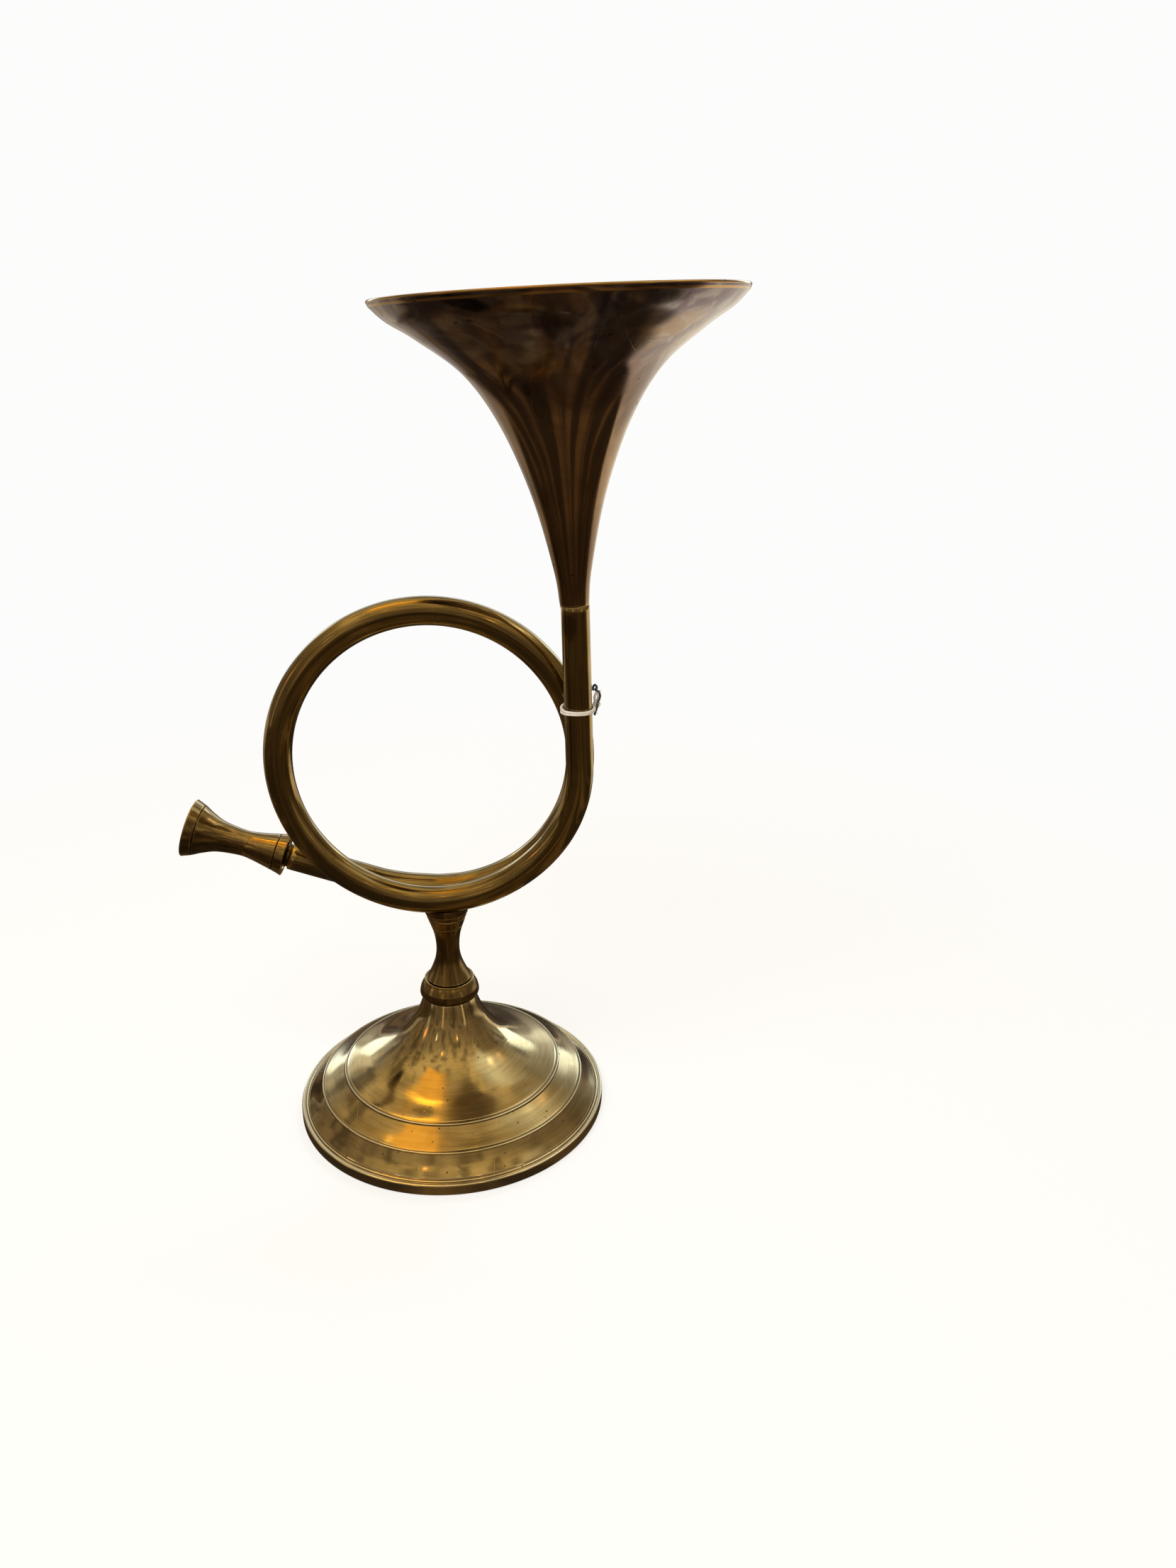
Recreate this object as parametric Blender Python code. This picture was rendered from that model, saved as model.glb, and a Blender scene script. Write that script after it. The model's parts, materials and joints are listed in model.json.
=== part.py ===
"""A brass bugle on a turned pedestal, made as a candlestick.

One tube runs from the mouthpiece through a single upright loop to a flared bell. The loop stands in
a saddle on a turned stem, and a tie rod clamps saddle, stem and spun foot together. The mouthpiece
screws off its threaded nipple, and a drip pan with a candle socket lifts out of the bell.

Sizes are in millimetres and are turned into metres as each mesh is made. X runs towards the bell's
side, Z up, and the loop lies in the XZ plane. Places are measured from the foot of the stem's axis.
"""

from math import cos, exp, pi, radians, sin, tan

import bmesh
import bpy
from mathutils import Vector

MM = 0.001
GAP = 0.3  # left between pieces that touch

# Where the stem stands, so that the origin lies under the middle of the whole bugle
STEM_X, STEM_Y = -1.9, 2.4

# Tube and loop
TUBE_RADIUS = 5.95
TUBE_WALL = 1.0
TUBE_END_RADIUS = 5.7  # the tube tapers a little towards the bell
LOOP_RADIUS = 62.95
LOOP_CENTRE_X, LOOP_CENTRE_Z = -4.1, 169.1
LOOP_TIGHTER_BY = 0.97  # where the loop turns up to the bell
LOOP_TIGHTER_AT, LOOP_TIGHTER_SPAN = 395.0, 30.0
STRAND_Y = TUBE_RADIUS + GAP / 2  # the two strands lie side by side
CROSS_FROM, CROSS_TO = 135.0, 305.0  # the loop's turn, in degrees, over which it crosses over
BELL_TUBE_Y = -STRAND_Y - 1.4  # the rising tube stands off the strand behind it
FORWARD_FROM, FORWARD_TO = 385.0, 450.0
LEAD_SLOPE = 17.2  # degrees the lead pipe rises towards the mouthpiece
LEAD_END_X, LEAD_END_Z = -68.5, 121.0
LEAD_STRAIGHT = 41.0  # straight length of the lead pipe before it eases into the loop
BELL_TUBE_LEAN = 1.75
SEAM_Z = 237.2

# Bell
BELL_LEAN = 3.0
BELL_X = 56.6
BELL_WALL = 0.8
BELL_BACK = 1.0  # degrees the bell leans away from the front
BELL_OUTLINE = (
    (5.75, 0.4),
    (7.4, 14.2),
    (14.0, 42.2),
    (24.0, 68.2),
    (36.3, 87.2),
    (52.6, 100.2),
    (62.6, 106.6),
    (68.2, 111.8),
)
BELL_RIM_RADIUS, BELL_LENGTH, BELL_LIP = 69.0, 114.2, 0.7

# Foot and stem
FOOT_RADIUS = 70.0
FOOT_WALL = 1.5
FOOT_ROUNDING = 0.6  # of the foot's outer edge
FOOT_EDGE = 2.4  # width of the flat ring that the foot stands on
ROD_RADIUS = 2.4
ROD_HOLE = ROD_RADIUS + GAP
DOME_TOP = 55.3
WASHER_THICK, NUT_RADIUS, NUT_HEIGHT = 1.4, 4.6, 4.0
ROD_PAST_NUT, ROD_IN_SADDLE, SADDLE_HOLE = 2.5, 2.3, 2.6  # how far the rod and its hole run on
COLLAR_HEIGHT, COLLAR_RADIUS = 8.7, 13.3
SADDLE_FROM, SADDLE_TO, SADDLE_RADIUS = 96.2, 101.6, 9.5

# Mouthpiece, from its collar at the joint to its rim
MOUTHPIECE_OUTLINE = (
    (9.45, 0),
    (8.3, 4.4),
    (6.1, 14.8),
    (5.8, 20.2),
    (6.9, 29.0),
    (9.1, 34.8),
    (11.3, 39.0),
    (12.8, 42.9),
)
THREAD_RADIUS, THREAD_PITCH, THREAD_TURNS = 5.4, 1.0, 6
JOINT_GAP = 1.9  # bare thread between the lead pipe and the collar

# Candle insert, from the bell's seam up its axis
PAN_AT, PAN_RADIUS = 82.8, 31.0
SOCKET_RADIUS, SOCKET_DEPTH = 11.2, 22.0

# Tag string
STRING_Z = 194.5
STRING_THICK = 1.2


def material(name, colour, roughness, metallic=1.0):
    made = bpy.data.materials.new(name)
    made.use_nodes = True
    shader = made.node_tree.nodes["Principled BSDF"]
    shader.inputs["Base Color"].default_value = (*colour, 1.0)
    shader.inputs["Roughness"].default_value = roughness
    shader.inputs["Metallic"].default_value = metallic
    return made


def add(name, mesh_or_curve, finish, parent, at=(0, 0, 0)):
    """One named piece, its place in millimetres under its parent."""
    piece = bpy.data.objects.new(name, mesh_or_curve)
    bpy.context.scene.collection.objects.link(piece)
    piece.data.materials.append(finish)
    piece.parent = parent
    piece.location = Vector(at) * MM
    return piece


def frame(name, parent, at, tilt=0.0, back=0.0):
    """An empty that pieces are placed under, tilted towards +X and back towards +Y, in degrees."""
    empty = bpy.data.objects.new(name, None)
    bpy.context.scene.collection.objects.link(empty)
    empty.parent = parent
    empty.location = Vector(at) * MM
    empty.rotation_euler = (-radians(back), radians(tilt), 0)
    return empty


def smooth(knots, steps):
    """Points on a Catmull-Rom curve through the knots."""
    knots = [Vector(knot) for knot in knots]
    ends = [2 * knots[0] - knots[1], *knots, 2 * knots[-1] - knots[-2]]
    points = []
    for before, start, end, after in zip(ends, ends[1:], ends[2:], ends[3:]):
        for step in range(steps):
            t = step / steps
            points.append(
                0.5
                * (
                    2 * start
                    + (end - before) * t
                    + (2 * before - 5 * start + 4 * end - after) * t**2
                    + (3 * start - before - 3 * end + after) * t**3
                )
            )
    return [*points, knots[-1]]


def arc(centre, radius, start, end, steps):
    """Points on an arc in the radius and height plane, by angle in degrees."""
    turns = [radians(start + (end - start) * i / steps) for i in range(steps + 1)]
    return [Vector((centre[0] + radius * cos(a), centre[1] + radius * sin(a))) for a in turns]


def inside(outline, wall):
    """The outline moved inwards by the wall's thickness, for an outline that runs upwards."""
    moved = []
    for i, point in enumerate(outline):
        along = outline[min(i + 1, len(outline) - 1)] - outline[max(i - 1, 0)]
        normal = Vector((-along.y, along.x)).normalized()
        moved.append(point + normal * wall)
    return moved


def turned_mesh(name, outline, sides, closed=True):
    """A mesh of revolution about Z. An outline that starts and ends on the axis isn't closed."""
    bm = bmesh.new()
    verts = [bm.verts.new((x * MM, 0, z * MM)) for x, z in outline]
    edges = [bm.edges.new(pair) for pair in zip(verts, verts[1:])]
    if closed:
        edges.append(bm.edges.new((verts[-1], verts[0])))
    bmesh.ops.spin(
        bm, geom=verts + edges, cent=(0, 0, 0), axis=(0, 0, 1), angle=2 * pi, steps=sides, use_merge=True
    )
    bmesh.ops.remove_doubles(bm, verts=bm.verts, dist=1e-6)
    bmesh.ops.recalc_face_normals(bm, faces=bm.faces)
    mesh = bpy.data.meshes.new(name)
    bm.to_mesh(mesh)
    bm.free()
    mesh.shade_smooth()
    mesh.set_sharp_from_angle(angle=radians(35))
    return mesh


def tube_curve(name, points, radius, fill, resolution=4, end_radius=None):
    """A round bar or tube along points in millimetres, tapering over its last third."""
    curve = bpy.data.curves.new(name, "CURVE")
    curve.dimensions = "3D"
    curve.bevel_depth = radius * MM
    curve.bevel_resolution = resolution
    curve.use_fill_caps = fill
    spline = curve.splines.new("POLY")
    spline.points.add(len(points) - 1)
    for i, point in enumerate(points):
        spline.points[i].co = (*(Vector(point) * MM), 1)
        late = max(0, 3 * i / (len(points) - 1) - 2)
        spline.points[i].radius = 1 + late * ((end_radius or radius) / radius - 1)
    return curve


def cut(piece, cutter, name):
    cutter.hide_render = True
    cutter.display_type = "WIRE"
    modifier = piece.modifiers.new(name, "BOOLEAN")
    modifier.operation = "DIFFERENCE"
    modifier.solver = "EXACT"
    modifier.object = cutter


def loop_point(turn):
    """A point on the loop's centre line. Turn 0 is the bottom, 90 the bell's side, 180 the top."""
    tighter = exp(-(((turn - LOOP_TIGHTER_AT) / LOOP_TIGHTER_SPAN) ** 2))
    radius = LOOP_RADIUS - LOOP_TIGHTER_BY * tighter
    crossed = min(max((turn - CROSS_FROM) / (CROSS_TO - CROSS_FROM), 0), 1)
    forward = min(max((turn - FORWARD_FROM) / (FORWARD_TO - FORWARD_FROM), 0), 1)
    return Vector(
        (
            LOOP_CENTRE_X + radius * sin(radians(turn)),
            STRAND_Y * cos(pi * crossed) + (BELL_TUBE_Y + STRAND_Y) * (1 - cos(pi * forward)) / 2,
            LOOP_CENTRE_Z - radius * cos(radians(turn)),
        )
    )


def horn_path():
    """The whole tube's centre line, from the mouthpiece joint round the loop to the bell's seam."""
    slope = radians(LEAD_SLOPE)
    lead_end = Vector((LEAD_END_X, STRAND_Y, LEAD_END_Z))
    lead_start = lead_end + Vector((cos(slope), 0, -sin(slope))) * LEAD_STRAIGHT
    easing = smooth([(p.x, p.z) for p in (lead_end, lead_start, loop_point(-3), loop_point(8))], 4)[5:-1]
    points = [lead_end, lead_end.lerp(lead_start, 0.5), lead_start]
    points += [Vector((x, STRAND_Y, z)) for x, z in easing]
    first, last, step = 8.0, 90.0 + 360.0 + BELL_TUBE_LEAN, 9
    count = round((last - first) / step)
    points += [loop_point(first + (last - first) * i / count) for i in range(count + 1)]
    rise = SEAM_Z - GAP - points[-1].z
    bend = points[-1].copy()
    for share in (0.33, 0.67, 1.0):
        points.append(bend + Vector((-tan(radians(BELL_TUBE_LEAN)) * rise * share, 0, rise * share)))
    return points


def make_foot(stand, brass):
    low_band = smooth([(66.9, 5.1), (63.2, 8.9), (59.6, 13.7)], 2)
    high_band = smooth([(59.0, 14.2), (54.0, 16.9), (49.0, 20.2)], 2)
    dome = smooth([(48.4, 20.8), (36.5, 26.0), (24.0, 34.6), (15.8, 45.4), (11.7, DOME_TOP)], 2)
    edge_radius = FOOT_RADIUS - FOOT_ROUNDING
    outer = [Vector((edge_radius, 0)), Vector((FOOT_RADIUS, 2 * FOOT_ROUNDING)), Vector((edge_radius, 4.2))]
    outer += low_band + high_band + dome
    inner = inside(outer[4:], FOOT_WALL)[:-1]
    inner += [Vector((10.0, DOME_TOP - FOOT_WALL)), Vector((ROD_HOLE, DOME_TOP - FOOT_WALL))]
    standing = Vector((edge_radius - FOOT_EDGE, 0))
    outline = outer + [Vector((ROD_HOLE, DOME_TOP))] + inner[::-1] + [Vector((standing.x, 3.0)), standing]
    add("foot", turned_mesh("foot", outline, 36), brass, stand)


def make_clamp(stand, steel, brass):
    """The washer and nut inside the foot, and the rod they pull down."""
    washer_top = DOME_TOP - FOOT_WALL - GAP
    washer_bottom = washer_top - WASHER_THICK
    washer = [(ROD_HOLE, washer_bottom), (8.6, washer_bottom), (9.2, washer_top), (ROD_HOLE, washer_top)]
    add("foot_washer", turned_mesh("foot_washer", washer, 20), brass, stand)
    nut_top = washer_bottom - GAP
    nut_bottom = nut_top - NUT_HEIGHT
    nut_hole = ROD_HOLE / cos(pi / 6)  # the spin makes a six-sided hole too
    nut = [(nut_hole, nut_bottom), (NUT_RADIUS, nut_bottom), (NUT_RADIUS, nut_top), (nut_hole, nut_top)]
    add("foot_nut", turned_mesh("foot_nut", nut, 6), steel, stand)
    bottom, top = nut_bottom - ROD_PAST_NUT, SADDLE_FROM + ROD_IN_SADDLE
    rod = [(0, bottom), (ROD_RADIUS - 0.5, bottom), (ROD_RADIUS, bottom + 0.6)]
    rod += [(ROD_RADIUS, top - 0.6), (ROD_RADIUS - 0.5, top), (0, top)]
    add("tie_rod", turned_mesh("tie_rod", rod, 12, closed=False), steel, stand)


def make_stem(stand, brass):
    base = DOME_TOP + GAP
    collar_top = base + COLLAR_HEIGHT
    collar = [(ROD_HOLE, base), (12.0, base), (12.9, base + 0.7), (COLLAR_RADIUS, base + 2.0)]
    collar += [(12.9, base + 4.0), (11.7, base + 6.8), (10.4, collar_top), (ROD_HOLE, collar_top)]
    add("stem_collar", turned_mesh("stem_collar", collar, 28), brass, stand)
    foot = collar_top + GAP
    waist = smooth([(9.8, foot), (7.5, 69.5), (5.75, 74.6), (5.15, 80.0), (5.9, 87.0), (8.3, 94.6)], 2)
    column = [(ROD_HOLE, foot)] + [tuple(p) for p in waist]
    column += [(8.7, SADDLE_FROM - GAP), (ROD_HOLE, SADDLE_FROM - GAP)]
    add("stem_column", turned_mesh("stem_column", column, 24), brass, stand)


def make_saddle(stand, brass, path):
    """A turned cap with a blind hole for the rod, its top grooved for both strands of the loop."""
    hole_top = SADDLE_FROM + SADDLE_HOLE
    outline = [(0, hole_top), (ROD_HOLE, hole_top), (ROD_HOLE, SADDLE_FROM), (8.8, SADDLE_FROM)]
    outline += [(SADDLE_RADIUS, SADDLE_FROM + 1.6), (SADDLE_RADIUS, SADDLE_TO), (0, SADDLE_TO)]
    saddle = add("loop_saddle", turned_mesh("loop_saddle", outline, 28, closed=False), brass, stand)
    near = [[p for p in path[:16] if abs(p.x) < 40], [p for p in path[16:] if abs(p.x) < 40 and p.z < 140]]
    for index, points in enumerate(near):
        name = f"strand_cutter_{index}"
        curve = tube_curve(name, points, TUBE_RADIUS + GAP, fill=True)
        guide = add(name + "_curve", curve, brass, stand)
        graph = bpy.context.evaluated_depsgraph_get()
        cutter = add(name, bpy.data.meshes.new_from_object(guide.evaluated_get(graph)), brass, stand)
        bpy.data.objects.remove(guide)
        cut(saddle, cutter, f"groove_{index}")


def make_horn(stand, brass, path):
    curve = tube_curve("horn_tube", path, TUBE_RADIUS, fill=False, end_radius=TUBE_END_RADIUS)
    tube = add("horn_tube", curve, brass, stand)
    wall = tube.modifiers.new("wall", "SOLIDIFY")
    wall.thickness = TUBE_WALL * MM
    wall.offset = -1.0


def make_bell(stand, brass, sleeve_brass, solder):
    """The bell, the sleeve inside its seam and the solder that fills it. It returns the bell's axis."""
    bell_axis = frame("bell_axis", stand, (BELL_X, BELL_TUBE_Y, SEAM_Z), -BELL_LEAN, BELL_BACK)
    flare = smooth(BELL_OUTLINE, 2)
    lip_centre = (BELL_RIM_RADIUS - BELL_LIP, BELL_LENGTH - BELL_LIP)
    inner = inside(flare, BELL_WALL)
    outline = flare + arc(lip_centre, BELL_LIP, -40, 200, 4) + inner[::-1]
    add("bell", turned_mesh("bell", outline, 36), brass, bell_axis)
    bore = TUBE_END_RADIUS - TUBE_WALL - GAP
    sleeve = [(bore - 0.8, -7), (bore, -7), (bore, 9), (bore - 0.8, 9)]
    add("bell_sleeve", turned_mesh("bell_sleeve", sleeve, 16), sleeve_brass, bell_axis)
    ring = [(bore + GAP, -0.05), (TUBE_END_RADIUS + 0.15, -0.05), (TUBE_END_RADIUS + 0.2, 0.1), (bore + GAP, 0.1)]
    add("bell_solder_ring", turned_mesh("bell_solder_ring", ring, 24), solder, bell_axis)
    return bell_axis


def make_candle_insert(bell_axis, brass):
    """The drip pan and the candle socket, made about an origin on the slide's axis at the pan."""
    insert = frame("candle_insert", bell_axis, (0, 0, PAN_AT))
    barrel = SOCKET_RADIUS + 0.9
    hole = barrel + GAP
    pan = [(hole, 0), (27.5, 0), (28.5, 1.6), (PAN_RADIUS, 3.4), (PAN_RADIUS, 4.3)]
    pan += [(27.9, 2.6), (26.9, 1.0), (hole, 1.0)]
    add("drip_pan", turned_mesh("drip_pan", pan, 36), brass, insert)
    floor = -SOCKET_DEPTH + 4.0
    socket = [(0, floor - 1.2), (barrel - 0.8, floor - 1.2), (barrel, floor), (barrel, 1.0 + GAP)]
    socket += [(19.5, 1.0 + GAP), (20.0, 1.9), (18.6, 3.6), (16.2, 5.3), (14.4, 5.8), (12.6, 5.2)]
    socket += [(SOCKET_RADIUS, 3.6), (SOCKET_RADIUS, floor), (0, floor)]
    add("candle_socket", turned_mesh("candle_socket", socket, 28, closed=False), brass, insert)


def thread(root, crest, start, pitch, turns):
    """Outline points of a fine thread, drawn as one ridge for each turn."""
    points = []
    for turn in range(turns):
        at = start + turn * pitch
        points += [(root, at + 0.15 * pitch), (crest, at + 0.5 * pitch), (root, at + 0.85 * pitch)]
    return points


def make_mouthpiece(stand, brass):
    slope = radians(LEAD_SLOPE)
    lead_end = Vector((LEAD_END_X, STRAND_Y, LEAD_END_Z))
    joint = lead_end + Vector((-cos(slope), 0, sin(slope))) * JOINT_GAP
    axis = frame("mouthpiece_axis", stand, joint, LEAD_SLOPE - 90)
    top = THREAD_TURNS * THREAD_PITCH
    spigot = TUBE_RADIUS - TUBE_WALL - GAP
    nipple = [(3.6, -10), (spigot, -10), (spigot, -JOINT_GAP + GAP), (THREAD_RADIUS - 0.4, -JOINT_GAP + GAP)]
    nipple += thread(THREAD_RADIUS - 0.4, THREAD_RADIUS, -JOINT_GAP + GAP, THREAD_PITCH, THREAD_TURNS + 1)
    nipple += [(THREAD_RADIUS - 0.6, top + 0.2), (3.6, top + 0.2)]
    add("mouthpiece_nipple", turned_mesh("mouthpiece_nipple", nipple, 12), brass, axis)
    bush_in, bush_out = THREAD_RADIUS + GAP, 6.4
    bush = [(bush_in, 0.4), (bush_out, 0.4), (bush_out, 6.6), (bush_in, 6.6)]
    add("mouthpiece_bush", turned_mesh("mouthpiece_bush", bush, 20), brass, axis)
    pocket, pocket_depth = bush_out + GAP, 7.0
    rim = MOUTHPIECE_OUTLINE[-1][1]
    shell = [tuple(p) for p in smooth(MOUTHPIECE_OUTLINE[1:-1], 2)]
    outline = [MOUTHPIECE_OUTLINE[0]] + shell + [MOUTHPIECE_OUTLINE[-1], (12.6, rim + 0.5), (10.4, rim + 0.5)]
    outline += [(9.6, rim - 0.3), (8.9, rim - 4.0), (6.4, rim - 9.0), (2.6, rim - 12.5), (1.9, rim - 14.5)]
    outline += [(2.9, pocket_depth + 4.0), (4.6, pocket_depth), (pocket, pocket_depth), (pocket, 0)]
    add("mouthpiece", turned_mesh("mouthpiece", outline, 24), brass, axis)


def make_tag_string(stand, cotton, dark):
    rise = STRING_Z - loop_point(90.0 + 360.0 + BELL_TUBE_LEAN).z
    x = loop_point(90.0 + 360.0 + BELL_TUBE_LEAN).x - rise * tan(radians(BELL_TUBE_LEAN))
    around = frame("string_place", stand, (x, BELL_TUBE_Y, STRING_Z), -BELL_TUBE_LEAN)
    inner = TUBE_RADIUS + GAP
    outer = inner + STRING_THICK
    wraps = [(inner, -STRING_THICK), (outer - 0.3, -STRING_THICK), (outer, -0.7), (outer - 0.3, 0)]
    wraps += [(outer, 0.7), (outer - 0.3, STRING_THICK), (inner, STRING_THICK)]
    add("string_wraps", turned_mesh("string_wraps", wraps, 20), cotton, around)
    knot_at = Vector((9.3, 1.6, 0.4))
    knot = [(0, -1.9), (1.2, -1.5), (1.7, 0), (1.3, 1.5), (0, 2.0)]
    add("string_knot", turned_mesh("string_knot", knot, 10, closed=False), cotton, around, knot_at)
    ends = {"string_end_upper": (2.5, 5.6), "string_end_lower": (-2.0, -4.4)}
    for name, (start, end) in ends.items():
        middle = (start + end) / 2
        route = [knot_at + Vector(p) for p in ((0, 0, start), (0.9, 0.3, middle), (0.5, 0.8, end))]
        add(name, tube_curve(name, route, 0.55, fill=True, resolution=2), dark, around)


def main():
    for leftover in list(bpy.data.objects):
        bpy.data.objects.remove(leftover)
    foot_brass = material("foot_brass", (0.52, 0.40, 0.16), 0.30)
    stem_brass = material("stem_brass", (0.36, 0.25, 0.09), 0.28)
    horn_brass = material("horn_brass", (0.30, 0.19, 0.06), 0.26)
    bell_brass = material("bell_brass", (0.20, 0.12, 0.06), 0.30)
    insert_brass = material("insert_brass", (0.50, 0.36, 0.14), 0.32)
    steel = material("plated_steel", (0.45, 0.43, 0.40), 0.40)
    solder = material("solder", (0.62, 0.58, 0.48), 0.40)
    cotton = material("cotton", (0.80, 0.78, 0.74), 0.90, metallic=0.0)
    dark = material("dark_thread", (0.03, 0.03, 0.03), 0.90, metallic=0.0)
    stand = frame("bugle", None, (STEM_X, STEM_Y, 0))
    path = horn_path()
    make_foot(stand, foot_brass)
    make_clamp(stand, steel, foot_brass)
    make_stem(stand, stem_brass)
    make_saddle(stand, stem_brass, path)
    make_horn(stand, horn_brass, path)
    bell_axis = make_bell(stand, bell_brass, horn_brass, solder)
    make_candle_insert(bell_axis, insert_brass)
    make_mouthpiece(stand, horn_brass)
    make_tag_string(stand, cotton, dark)


main()
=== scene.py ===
import json
from math import cos, exp, hypot, pi, radians, sin, tan

import bmesh
import bpy
from mathutils import Matrix, Vector, noise


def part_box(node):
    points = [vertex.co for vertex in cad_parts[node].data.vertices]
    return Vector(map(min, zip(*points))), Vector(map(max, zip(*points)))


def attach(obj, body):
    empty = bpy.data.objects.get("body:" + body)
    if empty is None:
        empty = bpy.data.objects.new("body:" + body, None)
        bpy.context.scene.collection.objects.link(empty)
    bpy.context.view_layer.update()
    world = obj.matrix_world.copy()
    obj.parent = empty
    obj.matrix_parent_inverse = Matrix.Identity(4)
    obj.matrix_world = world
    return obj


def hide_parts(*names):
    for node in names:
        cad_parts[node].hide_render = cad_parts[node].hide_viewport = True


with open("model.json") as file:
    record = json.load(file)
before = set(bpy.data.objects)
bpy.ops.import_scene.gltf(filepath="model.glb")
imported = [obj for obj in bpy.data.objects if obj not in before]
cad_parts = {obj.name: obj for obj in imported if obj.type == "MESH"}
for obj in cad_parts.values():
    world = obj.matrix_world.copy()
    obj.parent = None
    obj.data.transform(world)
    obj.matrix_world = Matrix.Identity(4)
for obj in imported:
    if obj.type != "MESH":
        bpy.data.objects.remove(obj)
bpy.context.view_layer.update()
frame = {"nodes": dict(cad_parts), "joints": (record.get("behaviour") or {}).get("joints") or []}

mm = 0.001  # every size below is in millimetres
noTurn = Matrix.Identity(4)
joints = {joint["name"]: joint for joint in frame["joints"]}


# Outlines are points of radius and height

def smoothCurve(knots, steps):
    knots = [Vector(knot) for knot in knots]
    ends = [2 * knots[0] - knots[1], *knots, 2 * knots[-1] - knots[-2]]
    points = []
    for before, start, end, after in zip(ends, ends[1:], ends[2:], ends[3:]):
        for step in range(steps):
            t = step / steps
            bend = (2 * before - 5 * start + 4 * end - after) * t**2
            bend += (3 * start - before - 3 * end + after) * t**3
            points.append(0.5 * (2 * start + (end - before) * t + bend))
    return [*points, knots[-1]]


def roundCorner(centre, radius, start, end, steps=6):
    turns = [radians(start + (end - start) * i / steps) for i in range(steps + 1)]
    return [Vector((centre[0] + radius * cos(a), centre[1] + radius * sin(a))) for a in turns]


def insideOf(outline, wall):
    moved = []
    for i, point in enumerate(outline):
        along = outline[min(i + 1, len(outline) - 1)] - outline[max(i - 1, 0)]
        moved.append(point + Vector((-along.y, along.x)).normalized() * wall)
    return moved


def withGrooves(outline, heights, width, depth):  # turned lines cut into an outline that runs upwards
    cut = []
    for start, end in zip(outline, outline[1:]):
        cut.append(start)
        for height in heights:
            if not start.y <= height < end.y:
                continue
            for step in range(-4, 5):
                share = step / 4
                place = start.lerp(end, (height + share * width - start.y) / (end.y - start.y))
                place.x -= depth * (0.5 + 0.5 * cos(pi * share))
                cut.append(place)
    cut.append(outline[-1])
    return sorted(cut, key=lambda point: point.y)


# Making pieces

def markEdges(bm):  # convex edges are positive and hollow ones negative, for wear with a painted edge highlight, and for grime
    edge = bm.verts.layers.float["edge"]
    for vert in bm.verts:
        bends = [e.calc_face_angle_signed(0) for e in vert.link_edges]
        strongest = max(bends, key=abs) if bends else 0
        vert[edge] = max(-1, min(1, strongest / radians(24)))


def finishPiece(name, bm, place, finish, body, stoodFor):
    markEdges(bm)
    bmesh.ops.transform(bm, matrix=place, verts=bm.verts)
    mesh = bpy.data.meshes.new(name)
    bm.to_mesh(mesh)
    bm.free()
    mesh.shade_smooth()
    mesh.set_sharp_from_angle(angle=radians(50))
    piece = bpy.data.objects.new(name, mesh)
    bpy.context.scene.collection.objects.link(piece)
    mesh.materials.append(finish)
    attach(piece, body)
    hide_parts(*stoodFor)
    return piece


def spinOutline(outline, sides, closed=True):
    bm = bmesh.new()
    lathe = bm.verts.layers.float_vector.new("lathe")
    bm.verts.layers.float.new("edge")
    verts, along = [], 0
    for i, (x, z) in enumerate(outline):
        along += hypot(x - outline[i - 1][0], z - outline[i - 1][1]) if i else 0
        vert = bm.verts.new((x * mm, 0, z * mm))
        vert[lathe] = (0, 0, along * mm)
        verts.append(vert)
    edges = [bm.edges.new(pair) for pair in zip(verts, verts[1:])]
    if closed:
        edges.append(bm.edges.new((verts[-1], verts[0])))
    bmesh.ops.spin(
        bm, geom=verts + edges, cent=(0, 0, 0), axis=(0, 0, 1), angle=2 * pi, steps=sides, use_merge=True
    )
    bmesh.ops.remove_doubles(bm, verts=bm.verts, dist=2e-6)
    bmesh.ops.recalc_face_normals(bm, faces=bm.faces)
    for vert in bm.verts:
        around = Vector((vert.co.x, vert.co.y)).normalized()
        vert[lathe] = (around.x, around.y, vert[lathe].z)
    return bm


def ringsAlong(points, radii, start=0):  # centre, two directions across, radius and distance for each ring
    rings, along, across = [], start, None
    for i, point in enumerate(points):
        tangent = (points[min(i + 1, len(points) - 1)] - points[max(i - 1, 0)]).normalized()
        if across is None:
            across = Vector((0, 1, 0)) if abs(tangent.y) < 0.9 else Vector((1, 0, 0))
        else:
            along += (point - points[i - 1]).length
        across = (across - tangent * across.dot(tangent)).normalized()
        rings.append((point, across, tangent.cross(across), radii[i], along))
    return rings


def sweepRings(rings, sides, bm=None):
    bm = bm or bmesh.new()
    layers = bm.verts.layers
    lathe = layers.float_vector.get("lathe") or layers.float_vector.new("lathe")
    layers.float.get("edge") or layers.float.new("edge")
    made = bmesh.ops.create_circle(bm, segments=sides, radius=1)["verts"]
    for vert in made:
        vert[lathe] = vert.co.copy()
    edges = list(dict.fromkeys(edge for vert in made for edge in vert.link_edges))
    faces = bmesh.ops.edgeloop_fill(bm, edges=edges)["faces"]
    for i, (centre, across, up, radius, along) in enumerate(rings):
        if i:
            grown = bmesh.ops.extrude_edge_only(bm, edges=edges)["geom"]
            made = [part for part in grown if isinstance(part, bmesh.types.BMVert)]
            edges = [part for part in grown if isinstance(part, bmesh.types.BMEdge) and part.is_boundary]
            faces += [part for part in grown if isinstance(part, bmesh.types.BMFace)]
        for vert in made:
            turn = vert[lathe]
            vert.co = (centre + (across * turn.x + up * turn.y) * radius) * mm
            vert[lathe] = (turn.x, turn.y, along * mm)
    faces += bmesh.ops.edgeloop_fill(bm, edges=edges)["faces"]
    bmesh.ops.recalc_face_normals(bm, faces=faces)
    return bm


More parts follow.
